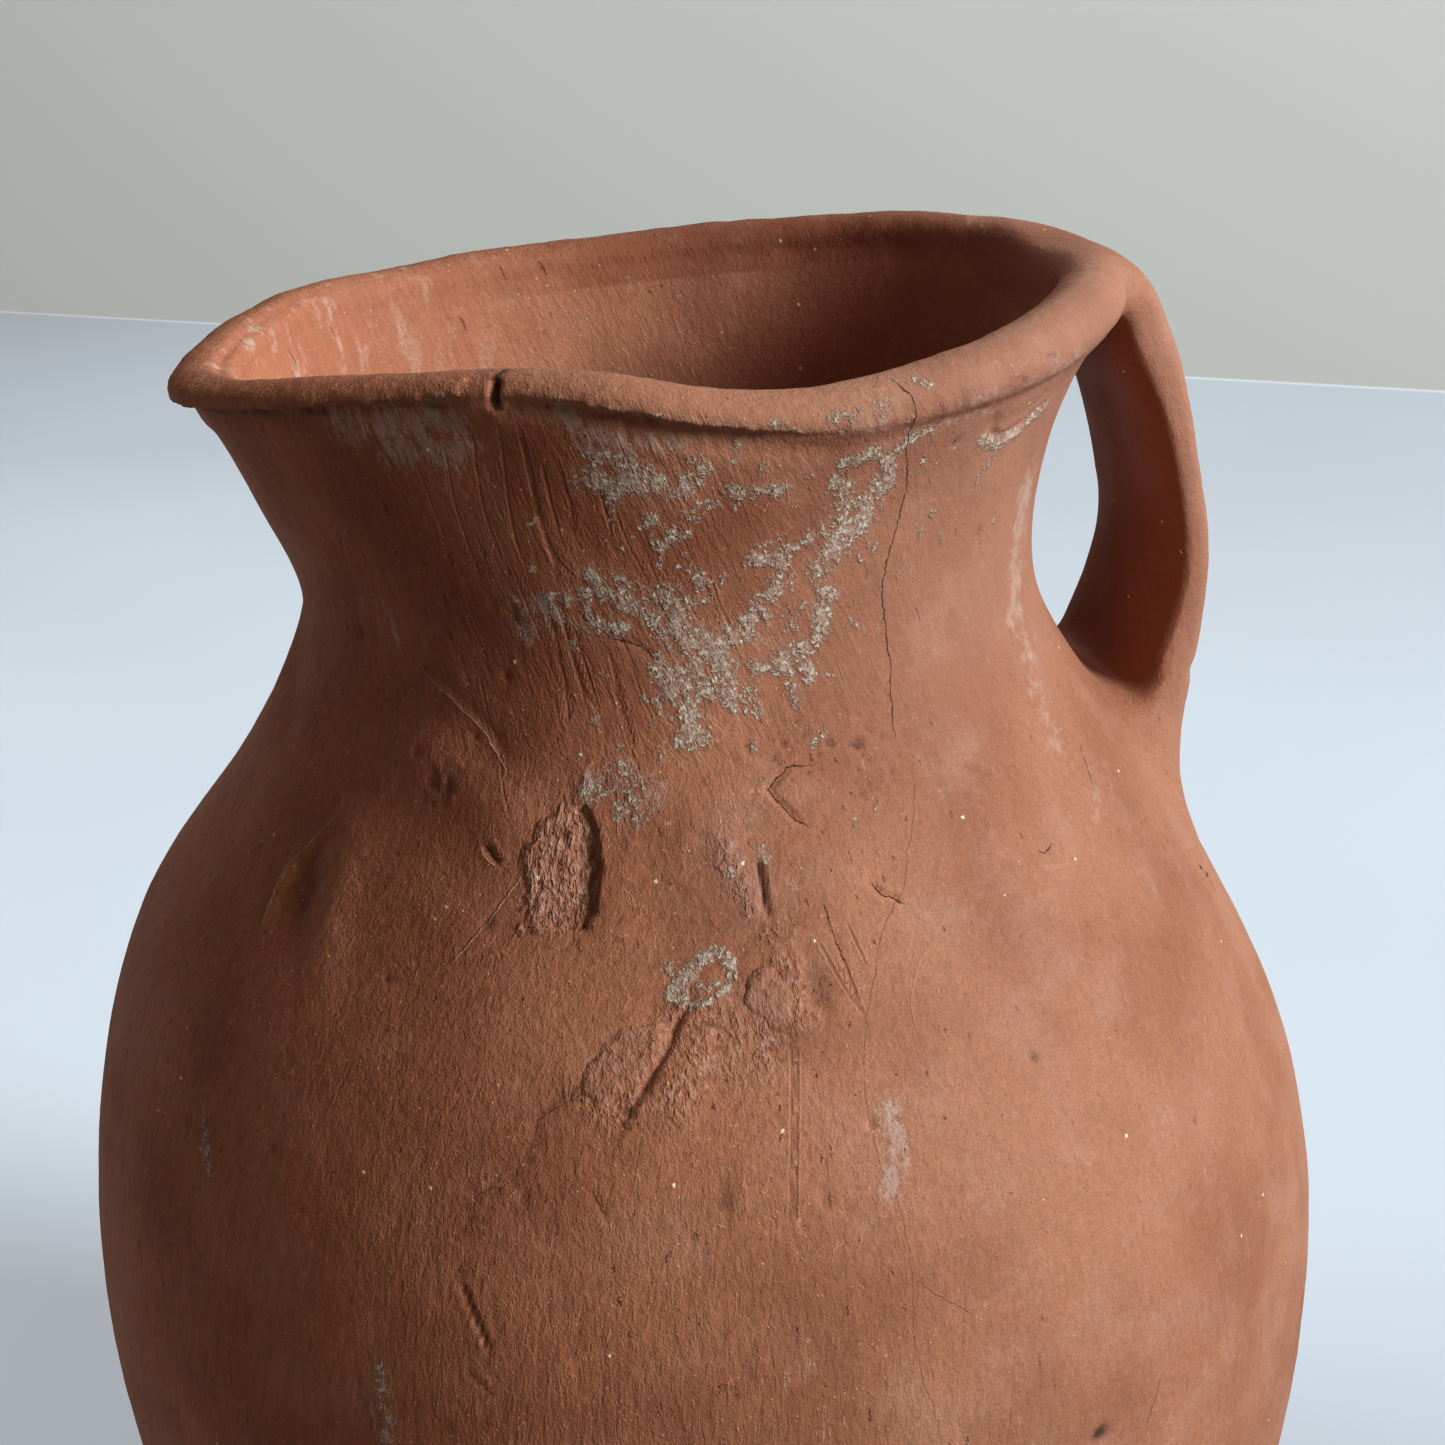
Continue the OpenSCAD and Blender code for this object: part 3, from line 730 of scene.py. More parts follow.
# lime crust left by water: strokes of it, in degrees and mm, with a width and a strength
CRUST = [
    (1.35, 1, -119.2, 194.6, -116.7, 193.6, -114.1, 194.4, -111, 194),
    (1, 0.95, -111, 194, -108.4, 193.5, -106.1, 194.9, -105.4, 195.9),
    (1.1, 0.62, -118.8, 196.9, -115.5, 196, -112, 195.6), (0.8, 1, -100.8, 193, -98, 193, -95, 193),
    (0.7, 0.8, -111.9, 190.8, -111.4, 190.2), (0.7, 0.8, -106.8, 190.6, -105.9, 190.4),
    (1.1, 0.85, -110, 187.8, -108.4, 188.6), (0.6, 0.8, -104.4, 191.9, -103.2, 191.7),
    (0.75, 1, -98.5, 185.5, -95, 185.7, -92.6, 186.4, -90, 187.3),
    (0.6, 0.8, -94.8, 185.6, -93.6, 184.2, -92.8, 183.6),
    (0.9, 0.85, -119.6, 184.2, -117.9, 182.3, -115, 181.4, -112, 179.4),
    (0.9, 0.75, -119.3, 179.3, -117.5, 178.3, -115.5, 178.5), (1.2, 0.6, -117, 183, -114, 182.6, -113, 180.8),
    (0.75, 0.85, -125.3, 181.4, -124.7, 179.6), (0.6, 0.85, -123.1, 181.9, -123, 181.2),
    (0.7, 0.85, -120.5, 182.4, -120.4, 180.6), (1.2, 0.5, -130.1, 180.3, -129.4, 177.6),
    (1.1, 0.9, -110.7, 182.9, -107.7, 180.1, -109.3, 177.9),
    (1.3, 1, -109.3, 177.9, -107.4, 177.3, -105.3, 177.3, -101.2, 176.6), (0.8, 0.7, -106, 184.6, -104.8, 183),
    (0.8, 0.7, -108.6, 181.9, -105, 181.3),
    (1, 1, -100.6, 177.3, -99, 178.6, -97.7, 180.2, -96, 181.4, -94.2, 182.7),
    (1.3, 1, -102.8, 176.5, -102.5, 173.5, -104.1, 171.6),
    (0.95, 0.95, -111.2, 175.7, -110.6, 173.7, -107.8, 173.7, -105.9, 174.3),
    (1.5, 0.95, -109.5, 173.2, -107.5, 170.4, -106.4, 167.6), (1, 0.85, -104, 172.8, -101, 171, -99.4, 170.4),
    (0.95, 1, -97.7, 174.2, -94.4, 174.1, -89.9, 173.1),
    (1, 0.9, -93.3, 175.4, -90.9, 175.4, -88.5, 175.9, -87.8, 178.1, -87.2, 181),
    (0.6, 0.7, -93.6, 177.8, -92.4, 178.6), (0.9, 0.7, -92.6, 171.4, -91.4, 170),
    (0.8, 0.6, -98.6, 172.2, -97.4, 169.6), (0.9, 0.95, -85.6, 195.3, -83, 195.9, -80.9, 196.1),
    (1.1, 1, -79.2, 194.8, -78.7, 192.8, -80.4, 191.4, -81.6, 190.6),
    (1.35, 1, -81.6, 190.6, -82.7, 188.2, -85.1, 186.7, -88.2, 184),
    (1.2, 0.85, -86.2, 192.6, -85.6, 190.9, -85, 188.9), (0.7, 0.9, -97.5, 193.2, -95, 192.8),
    (0.8, 0.6, -88.6, 188.6, -88, 187.4), (0.7, 0.9, -73.5, 197.6, -76, 196.9, -77.6, 196.4),
    (0.75, 1, -61.4, 194.7, -59, 194.2, -56, 194, -52.6, 194.4), (0.6, 0.75, -56.4, 193.4, -58, 191.8, -60, 190.3),
    (0.45, 0.95, -49.9, 195.3, -47.8, 195.6, -45.2, 196.3), (1.9, 0.55, -118.6, 162, -115.4, 163.4, -113, 161.6),
    (1.2, 0.6, -115.6, 160.8, -113.4, 159.8),
    (0.62, 1, -108.3, 144.6, -107, 146, -105.4, 147.4, -103.4, 147.9, -102, 147.2),
    (0.5, 0.95, -102, 147.2, -102.3, 145.6, -103.6, 144.3, -105.6, 143.7, -108.3, 144.6),
    (0.5, 0.7, -106.6, 144.8, -105, 145.2, -103.6, 145.6), (0.5, 0.8, -108.8, 147, -108.6, 146.6),
    (0.8, 0.75, -154.6, 123.6, -153.2, 121, -152.2, 119.4),
    (0.75, 0.8, -131.4, 106.5, -131.4, 104.4, -131.6, 102.6), (0.8, 0.8, -130.8, 101.4, -131, 98.4),
    (0.5, 0.6, -76.5, 203, -75, 202.6), (0.7, 0.6, -93.8, 204.4, -92, 204.2), (0.8, 0.5, -100.6, 205.4, -98, 205),
    (0.8, 0.6, -96, 200, -93, 199.6), (0.8, 0.55, -88.6, 200.5, -84, 200.9, -80.4, 201.2),
]
paint_rows("crust", CRUST, widen=1.2)
paint_rows("scuff", CRUST, widen=2.4, weaken=0.3)
for _ in range(170):
    a0, z0 = rng.normal(-100, 15), rng.normal(182, 12)
    if z0 < 200 and a0 > -128:
        paint("crust", [(a0, z0), (a0 + rng.uniform(-0.8, 0.8), z0 + rng.uniform(-0.8, 0.8))],
              rng.uniform(0.25, 0.5), rng.uniform(0.45, 0.85))
SCUFF = [
    (2.6, 0.85, -150.5, 197.6, -144, 198.6, -136, 199.2), (2.2, 0.9, -145, 195.4, -139, 196, -134.6, 196.6),
    (1.5, 0.8, -122.3, 200.9, -119, 199, -113.5, 198, -107, 198.4), (1.5, 0.8, -120, 198, -115, 196.6),
    (1, 0.75, -77.5, 197.9, -71.1, 198.6, -64.2, 198.3), (1.8, 0.8, -88, 133.6, -87.8, 130, -88.6, 126.8),
    (2.6, 0.5, -119.8, 162.4, -115.8, 163.4, -111.8, 162), (1.8, 0.55, -127, 180.6, -124, 179, -121, 179),
    (1.6, 0.5, -129.5, 180.6, -129, 177), (1.2, 0.6, -154, 122.5, -152.4, 119.6),
    (3.4, 0.35, -112, 180.4, -104, 179, -96, 177), (1.1, 0.4, -64, 203.4, -54, 203, -46, 202.6),
]
paint_rows("scuff", SCUFF)
STAIN = [
    (3, 0.85, -40.5, 186, -42, 178, -44, 172), (2.4, 0.55, -42, 170, -44, 165, -47, 159),
    (1.2, 0.4, -47, 164, -45.4, 160), (1.6, 0.55, -52, 201.4, -47, 201, -41, 200.6), (7, 0.18, -70, 158, -60, 154),
    (4, 0.2, -116.5, 139, -110, 141.5),
]
paint_rows("stain", STAIN)
for p in ([(-60.5, 201.9), (-58.9, 201.6)], [(-54.6, 203.4), (-53, 203.1)]):
    paint("dark", p, 0.42, 0.5, 0.6)
CREASE = [(-45, 196.9), (-49.9, 195.6), (-53.6, 194.9), (-57.5, 194.7), (-60.6, 195.6)]
groove(CREASE, 0.45, 0.3, rim=0.14, warp=0.2)
dent(-60.4, 196.4, 1, 1.6, 0.35, 10)

# painted shade: broad darker, redder patches over the neck and shoulder at the front and to its left, where the
# light grazes the worked clay
SHADE_PATCHES = [
    (5.5, 0.9, -128, 196, -118, 190, -108, 186, -100, 190), (8, 0.7, -150, 190, -134, 176, -116, 170),
    (5, 0.6, -128, 172, -118, 162), (6, 0.5, -146, 164, -134, 156), (3.4, 0.6, -100, 182, -92, 188, -86, 196),
    (2, 0.5, -150, 200, -110, 199),
]
paint_rows("painted_shade", SHADE_PATCHES, 3)

# the far rim, in painted shade
mark("painted_shade", ALL, 1.3 * lip_body * bell(wrap(V_TH - 62), 50))
# painted light: a paler pink on the right of the neck and shoulder
mark("pink", ALL, 0.8 * V_OUT * bell(wrap(V_TH + 42), 40) * smooth(158, 176, V_Z))
# painted light: a paler pink on the front of the lip, where it is lit from above
mark("pink", ALL, 0.4 * lip_body * smooth(-150, -120, V_TH) * (V_TH < 0))

for k in ("crust", "scuff", "stain", "dark", "pink"):
    field[k] = np.clip(field[k], 0, 1.5)
lift += smooth(0.35, 0.8, field["crust"]) * (0.05 + 0.07 * noise(flat, 0.8, 41))

# inside of the mouth: paler drips by the spout
inner_flat = is_in.ravel()
spout_side = bell(wrap(V_TH - 176), 46) * inner_flat * smooth(150, 178, V_Z)
field["streak"] = spout_side + 0.12 * inner_flat * smooth(165, 190, V_Z) * bell(wrap(V_TH - 60), 60)
# painted shade inside the mouth on the handle's side
mark("painted_shade", ALL, 0.75 * inner_flat * bell(wrap(V_TH - 20), 75))

P = base + base_n * lift.reshape(NR, NC)[..., None]
P_N = grid_normals(P)

# ---------------------------------------------------------------- mesh building


def make_object(name, verts, faces, normals=None, values=None):
    mesh = bpy.data.meshes.new(name)
    verts = np.ascontiguousarray(verts, np.float64) / MM
    mesh.from_pydata([], [], [])
    mesh.vertices.add(len(verts))
    mesh.vertices.foreach_set("co", verts.astype(np.float32).ravel())
    counts = np.array([len(f) for f in faces])
    loops = np.concatenate([np.asarray(f) for f in faces]) if isinstance(faces, list) else faces.ravel()
    mesh.loops.add(len(loops))
    mesh.loops.foreach_set("vertex_index", loops.astype(np.int32))
    mesh.polygons.add(len(counts))
    mesh.polygons.foreach_set("loop_start", np.concatenate([[0], np.cumsum(counts)[:-1]]).astype(np.int32))
    mesh.update(calc_edges=True)
    mesh.polygons.foreach_set("use_smooth", np.full(len(counts), True))
    for k, v in (values or {}).items():
        mesh.attributes.new(k, "FLOAT", "POINT").data.foreach_set("value", np.asarray(v, np.float32))
    if normals is not None:
        mesh.normals_split_custom_set_from_vertices(np.asarray(normals, np.float32).tolist())
    obj = bpy.data.objects.new(name, mesh)
    bpy.context.collection.objects.link(obj)
    return obj


def grid_faces(n_rows, n_cols, close_rows=False, close_cols=False):
    """Quads of a grid of points, with its last row or column joined to the first where it closes."""
    k = np.arange(n_rows if close_rows else n_rows - 1)[:, None]
    j = np.arange(n_cols if close_cols else n_cols - 1)[None, :]
    k1, j1 = (k + 1) % n_rows, (j + 1) % n_cols
    corners = [k * n_cols + j, k * n_cols + j1, k1 * n_cols + j1, k1 * n_cols + j]
    return np.stack(corners, -1).reshape(-1, 4)


def rows_between(first, last):
    return list(range(spans[first][0], min(spans[last][1] + 1, NR)))


def ring_piece(name, rows):
    """Ring of clay through rows of the grid, closed from its last row back to its first."""
    values = {f: field[f].reshape(NR, NC)[rows].ravel() for f in FIELDS}
    faces = grid_faces(len(rows), NC, True, True)
    return make_object(name, P[rows].reshape(-1, 3), faces, P_N[rows].reshape(-1, 3), values)


pieces = {}
for node in ("lower_wall", "belly_wall", "shoulder_wall", "neck_collar"):
    outside, inside = [node.split("_")[0] + side for side in ("_out", "_in")]
    band_rows = rows_between(outside, outside) + rows_between(inside, inside)
    pieces[node] = ring_piece("pot_" + node, band_rows)
pieces["lip_coil"] = ring_piece("pot_lip_coil", rows_between("lip_out", "lip_in"))

# slab foot: disc with the edge rows of the grid
edge_rows = rows_between("slab_edge", "slab_side")
disc = np.array([0.15, 0.35, 0.55, 0.75, 0.9])[:, None, None]
under_edge = P[edge_rows[0]].copy()
under_edge[:, 2] = np.maximum(under_edge[:, 2], 0)
top_edge = P[edge_rows[-1]]
centre_low, centre_top = np.array([0, 0, 0.35]), np.array([0, 0, SLAB_TOP + 0.15])
low_rows = centre_low + (under_edge[None] - centre_low) * disc
low_uneven = noise(low_rows.reshape(-1, 3), 14, 51).reshape(low_rows.shape[:2])
low_rows[..., 2] = np.maximum(0.0, 0.25 + 0.2 * low_uneven) * (1 - disc[..., 0] ** 6)
top_rows = centre_top + (top_edge[None] - centre_top) * disc[::-1]
top_uneven = noise(top_rows.reshape(-1, 3), 9, 52, 2).reshape(top_rows.shape[:2])
top_rows[..., 2] = SLAB_TOP + 0.12 * top_uneven * (1 - disc[::-1, :, 0] ** 4)
side_rows = P[edge_rows].copy()
side_rows[0] = under_edge
side_rows[..., 2] = np.maximum(side_rows[..., 2], 0)
slab_grid = np.concatenate([low_rows, side_rows, top_rows])
quads = grid_faces(len(slab_grid), NC, close_cols=True)
last, c0 = (len(slab_grid) - 1) * NC, len(slab_grid) * NC
fan = [[c0, (j + 1) % NC, j] for j in range(NC)]
fan += [[c0 + 1, last + j, last + (j + 1) % NC] for j in range(NC)]
slab_verts = np.concatenate([slab_grid.reshape(-1, 3), [centre_low], [[0, 0, SLAB_TOP]]])
pieces["base_slab"] = make_object("pot_base_slab", slab_verts, list(map(list, quads)) + fan)

# coil pressed into the corner of floor and wall
COIL_WIDTH, COIL_RISE = 9.0, 8.0
s_coil = np.linspace(0, 1, 15)[:, None]
wall_low = radius(inner_table, np.full((1, NC), SLAB_TOP + 0.2))
wall_high = radius(inner_table, np.full((1, NC), SLAB_TOP + COIL_RISE))
a = (1 - s_coil) ** 2, 2 * s_coil * (1 - s_coil), s_coil**2
coil_r = a[0] * (wall_low - COIL_WIDTH) + a[1] * (wall_low - COIL_WIDTH * 0.42) + a[2] * (wall_high + 0.3)
coil_z = a[0] * (SLAB_TOP - 0.1) + a[1] * (SLAB_TOP + COIL_RISE * 0.3) + a[2] * (SLAB_TOP + COIL_RISE)
coil_z = coil_z + 0 * coil_r
coil_r = np.concatenate([coil_r, wall_high + 0.4, wall_low + 0.4])
coil_ends = [np.full((1, NC), z) for z in (SLAB_TOP + COIL_RISE * 0.6, SLAB_TOP - 0.1)]
coil_z = np.concatenate([coil_z, *coil_ends])
coil = np.stack([coil_r * np.cos(col), coil_r * np.sin(col), coil_z], -1)
bump = noise(coil.reshape(-1, 3), 7, 53, 2).reshape(coil.shape[:2]) * 0.45
bump[0] = bump[-1] = bump[-2] = 0
coil[..., 2] += np.abs(bump)
quads = np.roll(grid_faces(len(coil), NC, True, True)[:, ::-1], 1, axis=1)
pieces["floor_coil"] = make_object("pot_floor_coil", coil.reshape(-1, 3), quads)

# ---------------------------------------------------------------- handle: strap blended into lip and shoulder

strap_lo, strap_hi = box("handle_strap")
REACH = strap_hi[0] - 2.65
SHIFT = (strap_lo[1] + strap_hi[1]) / 2
STRAP = np.array(
    [
        # reach and height of the middle, half width, half thickness
        [REACH - 15.0, 203.6, 14.5, 2.6],
        [REACH - 10.2, 203.0, 14.5, 3.3],
        [REACH - 7.8, 198.0, 14.2, 4.0],
        [REACH - 3.6, 188.0, 13.6, 3.1],
        [REACH - 0.3, 172.0, 13.5, 2.8],
        [REACH - 2.2, 157.5, 14.0, 3.9],
        [REACH - 5.0, 147.0, 16.0, 4.8],
        [REACH - 7.2, 138.5, 17.5, 2.9],
    ]
)
strap_curve = curve_through(STRAP, 10)
VOXEL = 0.5
g_lo = np.array([REACH - 24, SHIFT - 27, 128.0])
g_n = np.array([58, 108, 164])
gx, gy, gz = [g_lo[i] + VOXEL * np.arange(g_n[i]) for i in range(3)]

# distance to the strap: nearest place on its line in the plane of the handle, then a rounded oblong section
px, pz = np.meshgrid(gx, gz, indexing="ij")
px, pz = px.ravel(), pz.ravel()
best = np.full(len(px), 1e9)
through = np.zeros(len(px))
half_w = np.zeros(len(px))
half_t = np.zeros(len(px))
for a, b in zip(strap_curve[:-1], strap_curve[1:]):
    ex, ez = b[0] - a[0], b[1] - a[1]
    t = np.clip(((px - a[0]) * ex + (pz - a[1]) * ez) / (ex**2 + ez**2), 0, 1)
    dx, dz = px - a[0] - t * ex, pz - a[1] - t * ez
    d = np.hypot(dx, dz)
    closer = d < best
    best = np.where(closer, d, best)
    side = np.sign(ex * dz - ez * dx)
    through = np.where(closer, d * side, through)
    half_w = np.where(closer, a[2] + t * (b[2] - a[2]), half_w)
    half_t = np.where(closer, a[3] + t * (b[3] - a[3]), half_t)
shape2 = (g_n[0], 1, g_n[2])
through, half_w, half_t = [q.reshape(shape2) for q in (through, half_w, half_t)]
across = (gy - SHIFT)[None, :, None]
POWER = 3.4
th_q = np.abs(through) / half_t
ac_q = np.abs(across) / half_w
val = (th_q**POWER + ac_q**POWER) ** (1 / POWER)
slope = np.sqrt(
    (th_q ** (POWER - 1) / half_t) ** 2 + (ac_q ** (POWER - 1) / half_w) ** 2
) / np.maximum(val, 1e-6) ** (POWER - 1)
strap_d = (val - 1) / np.maximum(slope, 1 / half_w)

# distance to the pot near the handle
HANDLE_SIDE, HANDLE_FROM = 62, 118
near_cols = np.nonzero(np.abs(wrap(columns)) < HANDLE_SIDE)[0]
near_cols = near_cols[np.argsort(wrap(columns[near_cols]))]
near_rows = np.arange(int(np.searchsorted(mean_z, HANDLE_FROM)), spans["neck_in"][0] + 14, 2)
patch = P[np.ix_(near_rows, near_cols)]
pot_tree = BVHTree.FromPolygons(patch.reshape(-1, 3).tolist(), grid_faces(*patch.shape[:2]).tolist())


def to_pot(q):
    """Signed distance from a point to the pot, and the pot's normal there."""
    at, n, _, d = pot_tree.find_nearest(q)
    outside = (q[0] - at[0]) * n[0] + (q[1] - at[1]) * n[1] + (q[2] - at[2]) * n[2] > 0
    return d if outside else -d, n



GX, GY, GZ = np.meshgrid(gx, gy, gz, indexing="ij")
rad = np.hypot(GX, GY)
rough_pot = (rad - np.interp(GZ, mean_z, mean_r - 1)) * 0.8
pot_d = np.where(GZ > 204, np.maximum(rough_pot, GZ - 207), rough_pot)
pot_d = np.clip(pot_d, -9, 12)
want = np.nonzero(((strap_d < 8.5) & (pot_d < 9.5) & (pot_d > -8.5)).ravel())[0]
points = np.stack([GX.ravel()[want], GY.ravel()[want], GZ.ravel()[want]], -1)
exact = np.empty(len(want))
for i, q in enumerate(points.tolist()):
    exact[i] = to_pot(q)[0]
flat_d = pot_d.ravel().copy()
flat_d[want] = exact
pot_d = flat_d.reshape(GX.shape)

blend_r = 3.4 + 3.6 * smooth(168, 152, GZ) + 0.8 * smooth(196, 203, GZ)
skirt = pot_d + 0.05
h = np.clip(blend_r - np.abs(strap_d - skirt), 0, None) / blend_r
fused = np.minimum(strap_d, skirt) - h * h * blend_r / 4
# the handle goes SUNK into the wall, and its blend ends SKIRT away from the strap
SUNK, SKIRT = 2.2, 7.0
solid = np.maximum(np.maximum(fused, -(pot_d + SUNK)), strap_d - SKIRT)


def surface_nets(f):
    """Quads through the zero level of a grid of distances."""
    inside = f < 0
    nx, ny, nz = f.shape
    total = np.zeros((nx - 1, ny - 1, nz - 1, 3))
    count = np.zeros((nx - 1, ny - 1, nz - 1))
    corner = [(a, b, c) for a in (0, 1) for b in (0, 1) for c in (0, 1)]
    cut = lambda o: (slice(o[0], nx - 1 + o[0]), slice(o[1], ny - 1 + o[1]), slice(o[2], nz - 1 + o[2]))
    for o in corner:
        for axis in range(3):
            if o[axis]:
                continue
            e = list(o)
            e[axis] = 1
            fa, fb = f[cut(o)], f[cut(e)]
            crossing = inside[cut(o)] != inside[cut(e)]
            t = np.where(crossing, fa / np.where(crossing, fa - fb, 1), 0)
            for i in range(3):
                total[..., i] += np.where(crossing, o[i] + (t if i == axis else 0), 0)
            count += crossing
    cells = count > 0
    number = np.full(cells.shape, -1)
    number[cells] = np.arange(cells.sum())
    at = np.stack(np.nonzero(cells), -1)
    verts = at + total[cells] / count[cells][:, None]
    quads = []
    for axis in range(3):
        u, v = [(1, 2), (2, 0), (0, 1)][axis]
        lo = [slice(1, -1)] * 3
        lo[axis] = slice(0, -1)
        hi = [slice(1, -1)] * 3
        hi[axis] = slice(1, None)
        a, b = inside[tuple(lo)], inside[tuple(hi)]
        idx = np.stack(np.nonzero(a != b), -1)
        keep = a[tuple(idx.T)]
        idx[:, u] += 1
        idx[:, v] += 1
        ring = []
        for du, dv in ((-1, -1), (0, -1), (0, 0), (-1, 0)):
            c = idx.copy()
            c[:, u] += du
            c[:, v] += dv
            ring.append(number[tuple(c.T)])
        q = np.stack(ring, -1)
        quads.append(np.where(keep[:, None], q, q[:, ::-1]))
    return verts, np.concatenate(quads)


def trilinear(f, x):
    i = np.clip(np.floor(x).astype(int), 0, np.array(f.shape[:3]) - 2)
    t = x - i
    out = 0
    for a in (0, 1):
        for b in (0, 1):
            for c in (0, 1):
                wt = t[:, 0] if a else 1 - t[:, 0]
                wt = wt * (t[:, 1] if b else 1 - t[:, 1])
                wt = wt * (t[:, 2] if c else 1 - t[:, 2])
                v = f[i[:, 0] + a, i[:, 1] + b, i[:, 2] + c]
                out = out + (v * wt if v.ndim == 1 else v * wt[:, None])
    return out


hv, hq = surface_nets(solid)
grad = np.stack(np.gradient(fused), -1)
open_air = np.abs(trilinear(fused, hv)) < 0.6
for _ in range(2):
    g = trilinear(grad, hv)
    move = trilinear(fused, hv)[:, None] * g / np.maximum((g**2).sum(1), 1e-6)[:, None]
    hv -= np.where(open_air[:, None], np.clip(move, -0.6, 0.6), 0)
g = trilinear(grad, hv)
hn = g / np.maximum(np.linalg.norm(g, axis=1), 1e-9)[:, None]
hp = g_lo + hv * VOXEL
above, pot_n = np.empty(len(hp)), np.empty((len(hp), 3))
for i, q in enumerate(hp.tolist()):
    above[i], pot_n[i] = to_pot(q)

# unevenness of the handle, a nick in its outer face, a fold below the lip
free = smooth(0.15, 2.2, above) * open_air
h_lift = free * (0.34 * noise(hp, 13, 61, 2) + 0.10 * noise(hp, 4.0, 62, 2) + 0.022 * noise(hp, 0.9, 6, 2))
outer_face = smooth(0.2, 0.7, hn[:, 0])
nick = bell(hp[:, 2] - (157.4 - 0.12 * (hp[:, 1] + 12)), 1.1) * outer_face * smooth(4, -8, hp[:, 1] - SHIFT)
h_lift -= 0.34 * nick * free
h_lift -= 0.35 * outer_face * free * smooth(158, 152, hp[:, 2]) * smooth(2, -10, hp[:, 1] - SHIFT)
pit_at = ((-10.6, 146.1, 0.5), (-11.9, 148.1, 0.45), (-9.0, 152.0, 0.4))
h_dark = np.zeros(len(hp))
h_th = np.degrees(np.arctan2(hp[:, 1], hp[:, 0]))
for a0, z0, size in pit_at:
    d = np.hypot(np.hypot(hp[:, 0], hp[:, 1]) * np.radians(h_th - a0), (hp[:, 2] - z0))
    h_lift -= 0.35 * bell(d, size) * free
    h_dark = np.maximum(h_dark, 0.8 * bell(d, size))
hp = hp + hn * h_lift[:, None]

# normals of the moved surface, easing into the pot's own normals along the joint
tri = np.concatenate([hq[:, [0, 1, 2]], hq[:, [0, 2, 3]]])
fn = np.cross(hp[tri[:, 1]] - hp[tri[:, 0]], hp[tri[:, 2]] - hp[tri[:, 0]])
vn = np.zeros_like(hp)
for i in range(3):
    np.add.at(vn, tri[:, i], fn)
vn /= np.maximum(np.linalg.norm(vn, axis=1), 1e-9)[:, None]
ease = (smooth(0.0, 0.55, above))[:, None]
vn = np.where(open_air[:, None], vn * ease + pot_n * (1 - ease), vn)
vn /= np.maximum(np.linalg.norm(vn, axis=1), 1e-9)[:, None]

# which piece each face belongs to: 0 strap, 1 upper wad, on the neck's side, 2 lower wad
UPPER_NEAR_POT, UPPER_Z, UPPER_HALF, UPPER_BACK = 5.0, (188, 203.0), 12.5, 16.5
LOWER_TOP, LOWER_BOW = 152.5, 0.012
mid = hp[hq].mean(1)
mid_n = vn[hq].mean(1)
q_index = (mid - g_lo) / VOXEL
neck_side = (
    (trilinear(pot_d, q_index) < UPPER_NEAR_POT)
    & (mid[:, 2] > UPPER_Z[0])
    & (mid[:, 2] < UPPER_Z[1])
    & (mid_n[:, 0] < 0.55)
    & (np.abs(mid[:, 1] - SHIFT) < UPPER_HALF)
    & (mid[:, 0] > REACH - UPPER_BACK)
)
foot_side = mid[:, 2] < LOWER_TOP - LOWER_BOW * (mid[:, 1] - SHIFT) ** 2
part = np.where(neck_side, 1, np.where(foot_side, 2, 0))


def cut_piece(name, number):
    """One piece of the handle's surface, closed where it was cut from its neighbours."""
    q = hq[part == number]
    used, q = np.unique(q, return_inverse=True)
    q = q.reshape(-1, 4)
    pts, nrm = hp[used], vn[used]
    edges = np.concatenate([q[:, [i, (i + 1) % 4]] for i in range(4)])
    key = edges[:, 0].astype(np.int64) * len(pts) + edges[:, 1]
    back = edges[:, 1].astype(np.int64) * len(pts) + edges[:, 0]
    rim_edges = edges[~np.isin(key, back)]
    group = {int(v): int(v) for v in np.unique(rim_edges)}

    def root(v):
        while group[v] != v:
            group[v] = group[group[v]]
            v = group[v]
        return v

    for a, b in rim_edges.tolist():
        group[root(a)] = root(b)
    loops = {}
    for a, b in rim_edges.tolist():
        loops.setdefault(root(a), []).append((a, b))
    faces = q.tolist()
    extra, extra_n = [], []
    for ring in loops.values():
        centre = len(pts) + len(extra)
        members = sorted({v for e in ring for v in e})
        extra.append(pts[members].mean(0))
        extra_n.append([0, 0, 1])
        faces += [[b, a, centre] for a, b in ring]
    if extra:
        pts, nrm = np.concatenate([pts, extra]), np.concatenate([nrm, extra_n])
    # painted shade on the handle's inner face, which is turned from the light; a pinker tone on the faces clear of
    # the pot, left off the inner face
    inner = smooth(0.0, -0.7, nrm[:, 0])
    clear = np.concatenate([smooth(0.3, 7.0, above[used]), np.zeros(len(extra))])
    dark = np.concatenate([h_dark[used], np.zeros(len(extra))])
    values = {"dark": dark, "painted_shade": 0.9 * inner, "pink": 0.75 * clear * (1 - inner)}
    return make_object(name, pts, faces, nrm, values)


pieces["handle_strap"] = cut_piece("handle_strap_clay", 0)
pieces["handle_upper_wad"] = cut_piece("handle_upper_wad_clay", 1)
pieces["handle_lower_wad"] = cut_piece("handle_lower_wad_clay", 2)

# ---------------------------------------------------------------- pads of clay pressed on the shoulder


